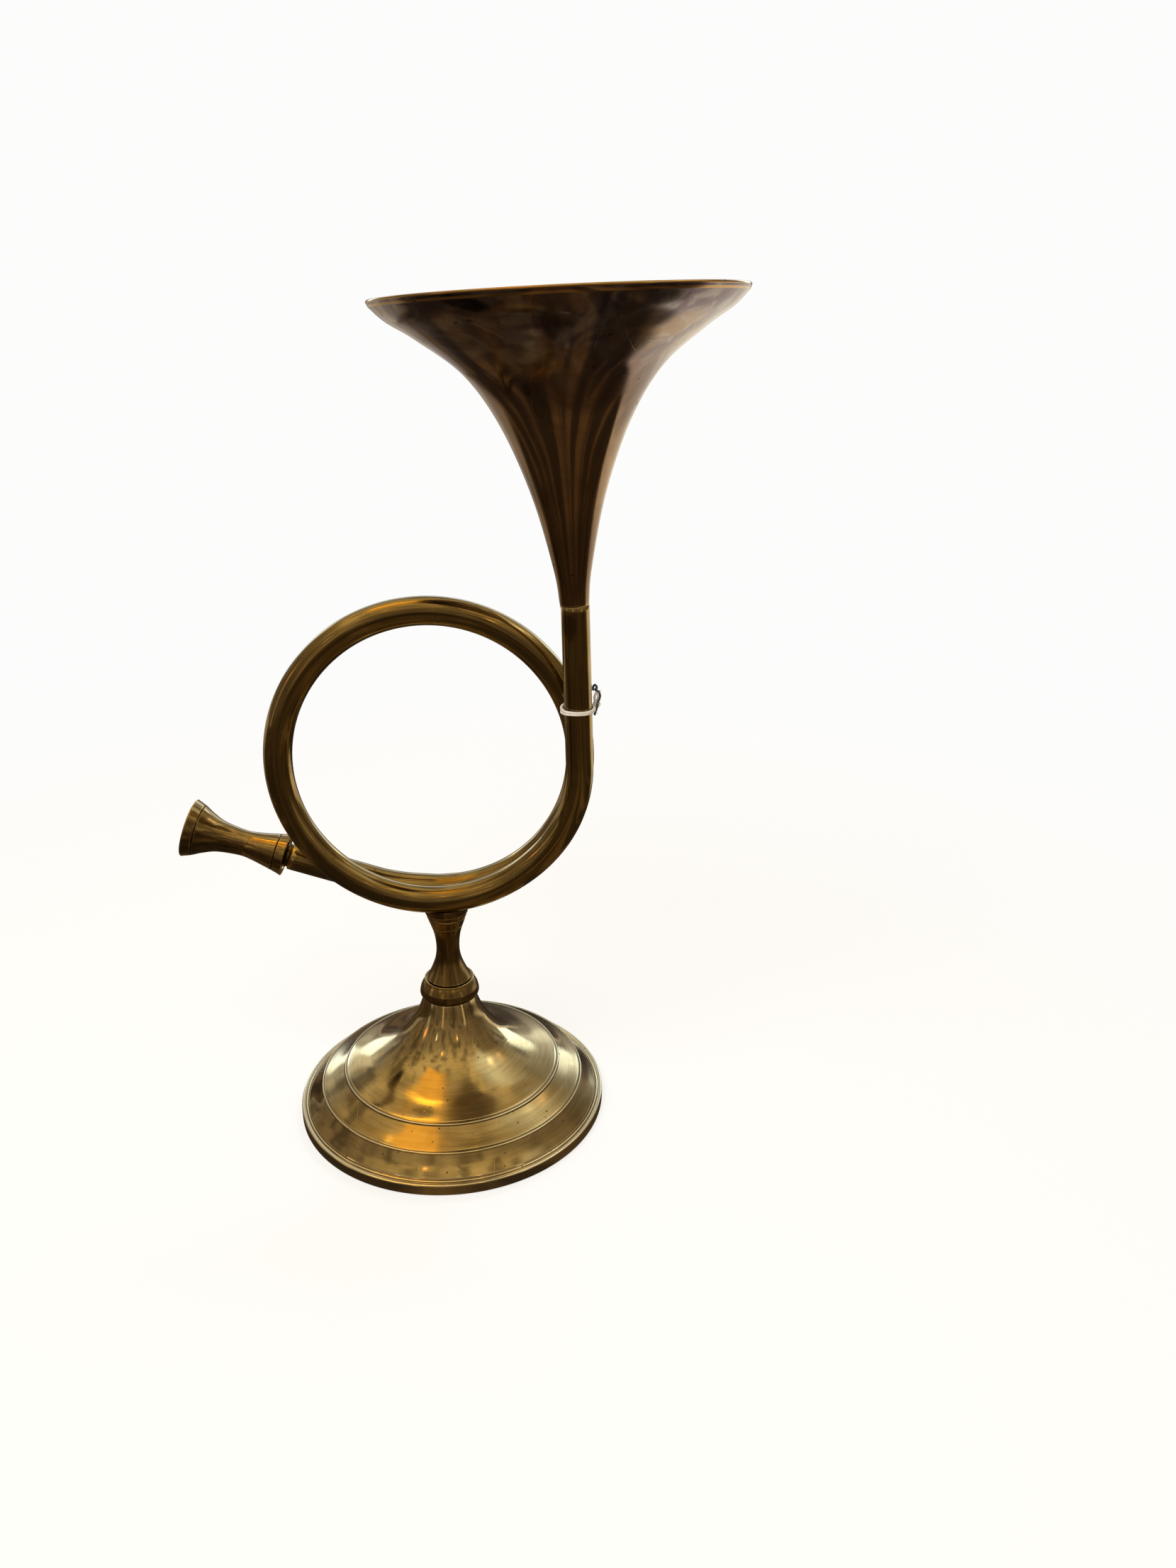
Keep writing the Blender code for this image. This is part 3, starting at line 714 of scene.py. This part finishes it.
def makeHorn():
    radii = [hornRadius(i / (len(hornPoints) - 1)) for i in range(len(hornPoints))]
    rings = ringsAlong(hornPoints, radii)
    deep = [ring for ring in rings if ring[4] < horn["socketDeep"]]
    late = [ring for ring in rings if rings[-1][4] - ring[4] < horn["socketDeep"]]

    def lined(ring):
        return (*ring[:3], ring[3] - horn["wall"], ring[4])

    def eased(ring, tangentSign):  # the end's outer corner, rounded a little
        shift = ring[1].cross(ring[2]) * 0.18 * tangentSign
        return [(ring[0], ring[1], ring[2], ring[3] - 0.18, ring[4]), (ring[0] + shift, *ring[1:])]

    body = [lined(ring) for ring in deep[::-1]] + eased(rings[0], 1) + rings[1:-1]
    body += eased(rings[-1], -1)[::-1] + [lined(ring) for ring in late[::-1]]
    bm = sweepRings(body, horn["sides"])
    finishPiece("bentTube", bm, noTurn, hornFinish, "stand", ["horn_tube"])


def makeSaddle():
    low, high, radius = stem["saddleFrom"], stem["saddleTo"], stem["saddleRadius"]
    bore, deep = stem["hole"], low + 2.6
    outline = [Vector((0, deep)), Vector((bore, deep)), Vector((bore, low)), Vector((8.3, low))]
    outline += roundCorner((8.6, low + 0.3), 0.3, -90, -20)
    outline += smoothCurve(((8.95, low + 0.5), (9.2, low + 1.1), (radius - 0.05, low + 1.6)), 4)
    outline += [Vector((radius, low + 2.4))] + roundCorner((radius - 0.35, high - 0.35), 0.35, 0, 90)
    outline += [Vector((0, high))]
    bm = spinOutline(outline, stem["sides"], closed=False)
    saddle = finishPiece("groovedSaddle", bm, stemPlace, stemFinish, "stand", ["loop_saddle"])
    third = len(hornPoints) // 3
    for strand in (hornPoints[:third], hornPoints[third:]):
        near = [point for point in strand if abs(point.x) < stem["strandReach"]]
        near = [point for point in near if point.z < stem["strandTop"]]
        cutBm = sweepRings(ringsAlong(near, [horn["radius"] + stem["gap"]] * len(near)), 64)
        mesh = bpy.data.meshes.new("strandCutter")
        cutBm.to_mesh(mesh)
        cutBm.free()
        cutter = bpy.data.objects.new("strandCutter", mesh)
        bpy.context.scene.collection.objects.link(cutter)
        groove = saddle.modifiers.new("groove", "BOOLEAN")
        groove.object = cutter
        graph = bpy.context.evaluated_depsgraph_get()
        grooved = bpy.data.meshes.new_from_object(saddle.evaluated_get(graph))
        saddle.modifiers.clear()
        saddle.data = grooved
        bpy.data.objects.remove(cutter)


makeHorn()
makeSaddle()
print("stand and tube made")


# Bell

bell = {
    "outline": (
        (5.75, 0.4), (7.4, 14.2), (14.0, 42.2), (24.0, 68.2), (36.3, 87.2), (52.6, 100.2), (62.6, 106.6),
        (68.2, 111.8),
    ),
    "wall": 0.8, "rimRadius": 68.9, "length": 114.12, "lip": 0.7, "sides": 224, "wobble": 0.12,
}


def makeBell():
    flare = smoothCurve(bell["outline"], 12)
    lip = bell["lip"]
    rolled = roundCorner((bell["rimRadius"] - lip, bell["length"] - lip), lip, -40, 200, 12)
    outline = flare + rolled + insideOf(flare, bell["wall"])[::-1]
    bm = spinOutline(outline, bell["sides"])
    for vert in bm.verts:  # the metal isn't quite round, from spinning and handling
        height = vert.co.z / mm
        push = noise.noise(Vector((vert.co.x * 28, vert.co.y * 28, vert.co.z * 20)))
        away = Vector((vert.co.x, vert.co.y, 0)).normalized()
        ease = max(0, min(1, height / 20)) * max(0, min(1, (bell["length"] - height) / 8))
        vert.co += away * push * bell["wobble"] * mm * ease
    finishPiece("spunBell", bm, bellPlace, bellFinish, "stand", ["bell"])


seam = {"radius": 5.66, "bead": 0.2, "sides": 120}


def makeSeam():  # soft solder run round the seam, a little uneven
    outline = roundCorner((seam["radius"], 0), seam["bead"], 0, 324, 9)
    bm = spinOutline(outline, seam["sides"])
    for vert in bm.verts:
        lump = noise.noise(vert.co * 1400) * 0.16 + noise.noise(vert.co * 420) * 0.08
        vert.co += Vector((vert.co.x, vert.co.y, 0)).normalized() * lump * mm * 0.5
        vert.co.z += lump * mm * 0.4
    finishPiece("solderSeam", bm, bellPlace, solderFinish, "stand", ["bell_solder_ring"])


makeBell()
makeSeam()
print("bell made")


# Candle insert: a loose dish and the cup that holds the candle

insert = {
    "at": 82.8, "socketRadius": 11.2, "barrel": 12.1, "deep": 18.0, "sides": 160,
    "panRadius": 31.0, "panWall": 0.8, "panRise": ((25.6, 0.0), (27.4, 0.15), (28.5, 1.3), (29.6, 2.5)),
}
insertPlace = bellPlace @ Matrix.Translation((0, 0, insert["at"] * mm))


def makePan():
    hole, radius, wall = insert["barrel"] + 0.3, insert["panRadius"], insert["panWall"]
    outer = smoothCurve((*insert["panRise"], (radius - 0.1, 3.5)), 6)
    outer += roundCorner((radius - 0.45, 3.9), 0.42, -20, 160)
    inner = insideOf(smoothCurve((*insert["panRise"], (30.4, 3.3)), 6), wall)
    outline = [Vector((hole, 0))] + outer + inner[::-1]
    outline += [Vector((22.0, wall + 0.1)), Vector((21.6, wall)), Vector((hole, wall))]
    bm = spinOutline(outline, insert["sides"])
    finishPiece("dripDish", bm, insertPlace, insertFinish, "candle_insert", ["drip_pan"])


def makeSocket():
    floor, barrel, bore = -insert["deep"], insert["barrel"], insert["socketRadius"]
    outline = [Vector((0, floor - 1.2)), Vector((barrel - 1.0, floor - 1.2))]
    outline += roundCorner((barrel - 0.8, floor - 0.4), 0.8, -60, 0)
    outline += [Vector((barrel, 1.25)), Vector((12.5, 1.3))] + roundCorner((19.6, 1.7), 0.4, -90, 40)
    outline += smoothCurve(((19.6, 2.3), (18.4, 3.4), (16.4, 5.0), (14.6, 5.75), (12.9, 5.4)), 8)
    outline += roundCorner((12.3, 4.2), 1.1, 60, 170) + [Vector((bore, 3.0)), Vector((bore, floor + 0.6))]
    outline += roundCorner((bore - 0.6, floor + 0.6), 0.6, 0, -90, 4) + [Vector((0, floor))]
    bm = spinOutline(outline, insert["sides"], closed=False)
    finishPiece("candleCup", bm, insertPlace, insertFinish, "candle_insert", ["candle_socket"])


makePan()
makeSocket()


# Mouthpiece, its thread and the nipple that it screws on

mouthpiece = {
    "outline": (
        (9.45, 0), (8.3, 4.4), (6.1, 14.8), (5.8, 20.2), (6.9, 29.0), (9.1, 34.8), (11.3, 39.0), (12.8, 42.9),
    ),
    "lines": (4.4, 38.9), "pocket": 6.7, "pocketDeep": 7.0, "rim": 12.8, "sides": 144,
}
thread = {"root": 5.0, "crest": 5.4, "pitch": 1.0, "turns": 7, "from": -1.6, "to": 6.2, "bore": 3.6}


def makeMouthpiece():
    side = smoothCurve(mouthpiece["outline"], 14)[1:-2]
    side = withGrooves(side, mouthpiece["lines"], 0.42, 0.34)
    top = mouthpiece["outline"][-1][1]
    outline = roundCorner((9.2, 0.25), 0.25, -90, 10, 4) + side
    outline += roundCorner((mouthpiece["rim"] - 0.45, top - 0.05), 0.45, -20, 90)
    outline += [Vector((11.3, top + 0.5)), Vector((10.6, top + 0.42))]
    outline += roundCorner((10.2, top - 0.1), 0.5, 80, 170, 4)
    outline += smoothCurve(((9.5, top - 0.9), (8.6, top - 4.2), (6.2, top - 9.2), (2.9, top - 12.2)), 7)
    pocket, deep = mouthpiece["pocket"], mouthpiece["pocketDeep"]
    outline += smoothCurve(((2.1, top - 13.4), (1.9, top - 15.0), (2.9, 12.0), (4.6, deep)), 5)
    outline += [Vector((pocket, deep)), Vector((pocket, 0.2)), Vector((pocket + 0.2, 0))]
    bm = spinOutline(outline, mouthpiece["sides"])
    finishPiece("mouthpieceShell", bm, mouthPlace, mouthFinish, "mouthpiece_shell", ["mouthpiece"])


def makeNipple():  # a plain core with one helical ridge on it
    spigot = horn["radius"] - horn["wall"] - 0.3
    bore, root, low, high = thread["bore"], thread["root"], thread["from"], thread["to"]
    core = [(bore, -10), (spigot, -10), (spigot, low), (root, low)]
    core += [(root, high - 0.3), (root - 0.3, high), (bore, high)]
    bm = spinOutline(core, 72)
    lathe = bm.verts.layers.float_vector["lathe"]
    half = thread["pitch"] * 0.44
    crest = thread["crest"]
    shape = [(root - 0.15, -half), (crest - 0.06, -0.08), (crest, 0)]
    shape += [(crest - 0.06, 0.08), (root - 0.15, half)]
    verts = [bm.verts.new((x * mm, 0, (low + half + z) * mm)) for x, z in shape]
    edges = [bm.edges.new(pair) for pair in zip(verts, verts[1:] + verts[:1])]
    cap = bm.faces.new(verts)
    steps = round((thread["turns"] - 0.15) * 48)
    climb = Vector((0, 0, thread["pitch"] * mm / 48))
    bmesh.ops.spin(
        bm, geom=verts + edges + [cap], cent=(0, 0, 0), axis=(0, 0, 1), dvec=climb, angle=steps * 2 * pi / 48,
        steps=steps,
    )
    bmesh.ops.recalc_face_normals(bm, faces=bm.faces)
    for vert in bm.verts:
        around = Vector((vert.co.x, vert.co.y)).normalized()
        vert[lathe] = (around.x, around.y, vert.co.z)
    stoodFor = ["mouthpiece_nipple"]
    finishPiece("threadedNipple", bm, mouthPlace, threadedFinish, "stand", stoodFor)


makeMouthpiece()
makeNipple()
print("mouthpiece made")


# Tag string: two turns of plied cotton, a loop with a knot behind the tube, and frayed black thread

string = {
    "thick": 1.15, "plies": 3, "tube": 6.2, "twist": 2.6,  # millimetres of string for one twist
    "knotTurn": 38,  # degrees behind +X where the knot sits
}
stringPlace = placeOn(stringMiddle, (-tan(radians(horn["bellLean"])), 0, 1))


def plied(bm, route, thick, plies, twist, sides=8):  # yarns wound round each other along a route
    rings = ringsAlong(route, [thick / 4] * len(route))
    for ply in range(plies):
        points = []
        for centre, across, up, _, along in rings:
            turn = 2 * pi * (ply / plies + along / twist)
            points.append(centre + (across * cos(turn) + up * sin(turn)) * thick * 0.24)
        sweepRings(ringsAlong(points, [thick * 0.27] * len(points)), sides, bm)
    return bm


def makeWraps():
    bm = bmesh.new()
    reach = string["tube"] + string["thick"] * 0.45
    for wrap, (level, tilt) in enumerate(((0.55, 0.35), (-0.58, -0.25))):
        route = []
        for step in range(121):
            turn = 2 * pi * step / 120 + radians(string["knotTurn"])
            rise = level + tilt * sin(turn - 0.6) + 0.10 * sin(3 * turn + wrap)
            route.append(Vector((reach * cos(turn), reach * sin(turn), rise)))
        plied(bm, route, string["thick"], string["plies"], string["twist"])
    finishPiece("cottonWraps", bm, stringPlace, cottonFinish, "stand", ["string_wraps"])


knot = {
    "centre": (7.6, 3.0, 0.9), "radius": 0.8,
    "loop": (
        (6.4, 3.4, 0.2), (7.0, 2.6, 2.0), (6.9, 2.4, 4.2), (7.7, 2.3, 6.0), (8.4, 2.6, 4.6), (8.0, 3.0, 2.6),
        (7.6, 3.2, 0.8),
    ),
    "blackUpper": (
        (6.3, 2.6, 7.0), (6.4, 2.4, 8.6), (7.2, 2.3, 9.3), (7.9, 2.4, 8.2), (7.2, 2.6, 7.3), (8.0, 2.5, 6.6),
        (9.0, 2.5, 6.2),
    ),
    "blackLower": (
        (8.3, 2.5, 6.3), (9.1, 2.4, 5.0), (8.7, 2.3, 3.1), (8.1, 2.2, 2.0), (7.8, 2.0, 0.2), (7.4, 1.9, -1.2),
        (6.9, 1.9, -2.2), (6.7, 2.0, -3.4),
    ),
}


def makeKnot():
    bm = bmesh.new()
    loop = smoothCurve(knot["loop"], 8)
    plied(bm, loop, string["thick"], string["plies"], string["twist"])
    centre = Vector(knot["centre"])
    tangle = []
    for step in range(91):  # an overhand knot is a trefoil
        turn = 2 * pi * step / 90
        reach = knot["radius"] * (1 + 0.45 * cos(3 * turn))
        tangle.append(centre + Vector((reach * cos(2 * turn), 0.7 * sin(3 * turn), reach * sin(2 * turn))))
    plied(bm, tangle, string["thick"] * 0.95, string["plies"], string["twist"])
    finishPiece("cottonKnot", bm, stringPlace, cottonFinish, "stand", ["string_knot"])


def makeThread(name, route, stoodFor, frays):
    bm = bmesh.new()
    points = smoothCurve(route, 8)
    plied(bm, points, 1.1, 2, 1.6)
    for number in range(frays):
        base = points[-4 - 3 * number]
        aim = Vector((0.8 + 0.5 * sin(number * 2.1), 0.3 * cos(number * 1.7), 0.9 * sin(number * 2.9 + 0.6)))
        hair = [base + aim * t + Vector((0, 0, 0.25 * sin(3 * t))) for t in (0, 0.3, 0.6, 0.9, 1.2)]
        sweepRings(ringsAlong(hair, [0.11, 0.10, 0.09, 0.07, 0.04]), 5, bm)
    finishPiece(name, bm, stringPlace, threadFinish, "stand", [stoodFor])


makeWraps()
makeKnot()
makeThread("blackThreadUpper", knot["blackUpper"], "string_end_upper", 6)
makeThread("blackThreadLower", knot["blackLower"], "string_end_lower", 4)
print("string made")


# Frame nodes that keep their own shape

for node, finish, slot in (
    ("foot_washer", insertFinish, "foot_brass"),
    ("foot_nut", steelFinish, "plated_steel"),
    ("tie_rod", steelFinish, "plated_steel"),
    ("bell_sleeve", mouthFinish, "horn_brass"),
    ("mouthpiece_bush", mouthFinish, "horn_brass"),
):
    kept = frame["nodes"][node]
    kept.data.materials.clear()
    kept.data.materials.append(finish)


# Floor and light

room = {  # what the metal mirrors, and the pale ground that is seen
    "front": (0.27, 0.205, 0.130), "ceiling": (0.85, 0.66, 0.34), "low": (0.150, 0.115, 0.080),
    "back": (0.60, 0.60, 0.56), "clutter": (0.045, 0.032, 0.020),
    "counter": (0.045, 0.032, 0.021), "stripe": (0.15, 0.095, 0.045), "bright": (1.0, 0.90, 0.72),
    "far": (0.34, 0.29, 0.25),
    "pale": (0.975, 0.975, 0.97),
}
panes = {  # windows and lamps in the mirrored room: way to the middle, half widths, softness, colour
    "backWall": ((0.0, 0.96, 0.28), (0.50, 0.3, 0.18), 0.6, (1.25, 1.38, 1.5)),
    "leftWindow": ((-0.56, 0.81, 0.14), (0.08, 0.5, 0.20), 0.4, (2.2, 2.6, 3.0)),
    "leftHigh": ((-0.60, 0.72, 0.38), (0.13, 0.4, 0.12), 0.8, (1.0, 1.0, 0.95)),
    "rightWindow": ((0.50, 0.84, 0.18), (0.13, 0.5, 0.24), 0.4, (2.2, 2.6, 3.0)),
    "rightHigh": ((0.58, 0.10, 0.80), (0.22, 0.5, 0.24), 0.8, (1.15, 1.15, 1.0)),
    "amberPanel": ((-0.28, -0.10, 0.95), (0.20, 0.22, 0.5), 0.3, (1.35, 0.72, 0.13)),
    "amberShelf": ((-0.30, 0.08, 0.95), (0.20, 0.06, 0.5), 0.2, (3.4, 1.9, 0.26)),
    "doorLeft": ((-0.93, -0.30, 0.0), (0.10, 0.07, 0.50), 0.4, (0.50, 0.44, 0.33)),
    "doorRight": ((0.80, -0.58, 0.0), (0.10, 0.05, 0.45), 0.4, (0.75, 0.60, 0.38)),
    "shelfFront": ((-0.35, -0.93, 0.12), (0.05, 0.2, 0.30), 0.4, (0.70, 0.50, 0.25)),
    "whiteLamps": ((0.64, 0.12, 0.75), (0.05, 0.06, 0.07), 0.6, (4.6, 4.2, 3.2)),
    "warmLampA": ((0.68, 0.32, 0.66), (0.03, 0.05, 0.05), 0.6, (4.5, 3.0, 1.5)),
    "warmLampB": ((-0.24, -0.66, 0.71), (0.025, 0.06, 0.03), 0.8, (5.5, 2.6, 0.7)),
    "warmLampC": ((0.33, -0.78, 0.53), (0.025, 0.06, 0.022), 0.8, (6.0, 3.8, 1.4)),
    "paleLamp": ((-0.53, -0.70, 0.47), (0.022, 0.06, 0.03), 0.8, (3.8, 3.4, 2.6)),
    "redLamp": ((-0.91, -0.28, 0.31), (0.05, 0.06, 0.05), 0.6, (2.0, 0.85, 0.3)),
    "topLamp": ((0.16, -0.10, 0.98), (0.025, 0.025, 0.5), 0.8, (5.0, 3.4, 1.4)),
}


def makeFloor():
    bm = bmesh.new()
    bmesh.ops.create_circle(bm, cap_ends=True, segments=96, radius=6)
    mesh = bpy.data.meshes.new("floor")
    bm.to_mesh(mesh)
    bm.free()
    floor = bpy.data.objects.new("floor", mesh)
    bpy.context.scene.collection.objects.link(floor)
    finish, tree, shader = startMaterial("paleFloor")
    shader.inputs["Base Color"].default_value = (0.82, 0.81, 0.80, 1)
    shader.inputs["Roughness"].default_value = 0.9
    shader.inputs["Specular IOR Level"].default_value = 0.1
    place = addNode(tree, "ShaderNodeTexCoord").outputs["Object"]
    away = vectorNode(tree, "LENGTH", place)
    side, back = addNode(tree, "ShaderNodeSeparateXYZ", {0: place}).outputs[:2]
    counter = mixColour(tree, rangeNode(tree, back, 0.35, 0.9), room["counter"], room["far"])
    squeezed = addNode(tree, "ShaderNodeMapping", {"Vector": place, "Scale": (14, 1.5, 1)}).outputs[0]
    stripes = rangeNode(tree, noiseNode(tree, squeezed, 1), 0.48, 0.62)
    counter = mixColour(tree, stripes, counter, room["stripe"])
    right = mathNode(tree, "MULTIPLY", rangeNode(tree, side, 0.25, 0.30), rangeNode(tree, back, 0.12, 0.18))
    left = rangeNode(tree, back, 0.15, 0.3, 0.0, 0.3)
    left = mathNode(tree, "MULTIPLY", rangeNode(tree, side, -0.30, -0.36), left)
    counter = mixColour(tree, mathNode(tree, "ADD", right, left, clamp=True), counter, room["bright"])
    glow = addNode(tree, "ShaderNodeEmission", {"Color": (*room["pale"], 1), "Strength": 1.0})
    shade = addNode(tree, "ShaderNodeEmission", {"Color": counter, "Strength": 1.0})
    path = addNode(tree, "ShaderNodeLightPath").outputs
    seen = mathNode(tree, "MULTIPLY", path["Is Camera Ray"], rangeNode(tree, away, 0.1, 0.8, 0.72, 1.0))
    lit = addNode(tree, "ShaderNodeMixShader", {0: seen, 1: shader.outputs[0], 2: glow.outputs[0]})
    mirrored = addNode(
        tree, "ShaderNodeMixShader", {0: path["Is Glossy Ray"], 1: lit.outputs[0], 2: shade.outputs[0]}
    )
    tree.links.new(mirrored.outputs[0], tree.nodes["Material Output"].inputs["Surface"])
    mesh.materials.append(finish)


def paneMask(tree, way, aim, size, soft):
    away = vectorNode(tree, "SUBTRACT", way, Vector(aim).normalized())
    away = vectorNode(tree, "DIVIDE", vectorNode(tree, "ABSOLUTE", away), size)
    parts = addNode(tree, "ShaderNodeSeparateXYZ", {0: away}).outputs
    widest = mathNode(tree, "MAXIMUM", mathNode(tree, "MAXIMUM", parts[0], parts[1]), parts[2])
    return rangeNode(tree, widest, 1 - soft, 1.0, 1.0, 0.0)


def makeWorld():  # pale behind the object; in the metal, a dim shop with windows and lamps
    world = bpy.data.worlds.new("room")
    bpy.context.scene.world = world
    world.use_nodes = True
    tree = world.node_tree
    tree.nodes.clear()
    way = addNode(tree, "ShaderNodeTexCoord").outputs["Generated"]
    parts = addNode(tree, "ShaderNodeSeparateXYZ", {0: way}).outputs
    colour = mixColour(tree, rangeNode(tree, parts[2], -0.1, 0.35), room["low"], room["front"])
    colour = mixColour(tree, rangeNode(tree, parts[2], 0.40, 0.90), colour, room["ceiling"])
    behind = rangeNode(tree, parts[1], 0.35, 0.85)
    colour = tinted(tree, colour, behind, rangeNode(tree, parts[2], -0.1, 0.2), room["back"])
    clutter = rangeNode(tree, noiseNode(tree, way, 6), 0.46, 0.66, 0.0, 0.7)
    colour = mixColour(tree, clutter, colour, room["clutter"])
    for aim, size, soft, shine in panes.values():
        colour = mixColour(tree, paneMask(tree, way, aim, size, soft), colour, shine)
    dim = addNode(tree, "ShaderNodeBackground", {"Color": colour, "Strength": 1.0})
    pale = addNode(tree, "ShaderNodeBackground", {"Color": (*room["pale"], 1), "Strength": 1.0})
    seen = addNode(tree, "ShaderNodeLightPath").outputs["Is Camera Ray"]
    both = addNode(tree, "ShaderNodeMixShader", {0: seen, 1: dim.outputs[0], 2: pale.outputs[0]})
    output = tree.nodes.new("ShaderNodeOutputWorld")
    tree.links.new(both.outputs[0], output.inputs["Surface"])


lights = {  # soft lights that the metal doesn't mirror: place, width, height in metres, watts, colour
    "topSoft": ((-0.25, -0.65, 1.2), 0.9, 0.6, 15, (1.0, 0.96, 0.90)),
    "backSoft": ((0.3, 1.0, 1.1), 0.8, 0.4, 8, (0.92, 0.96, 1.0)),
}


def makeLights():
    target = Vector((0, 0, 0.17))
    for name, (place, width, height, watts, colour) in lights.items():
        data = bpy.data.lights.new(name, "AREA")
        data.shape = "RECTANGLE"
        data.size, data.size_y = width, height
        data.energy = watts
        data.color = colour
        lamp = bpy.data.objects.new(name, data)
        lamp.location = place
        lamp.rotation_euler = (target - Vector(place)).to_track_quat("-Z", "Y").to_euler()
        lamp.visible_camera = False
        lamp.visible_glossy = False
        bpy.context.scene.collection.objects.link(lamp)


makeFloor()
makeWorld()
makeLights()
bpy.context.scene.view_settings.view_transform = "Standard"
print("floor and lights made")
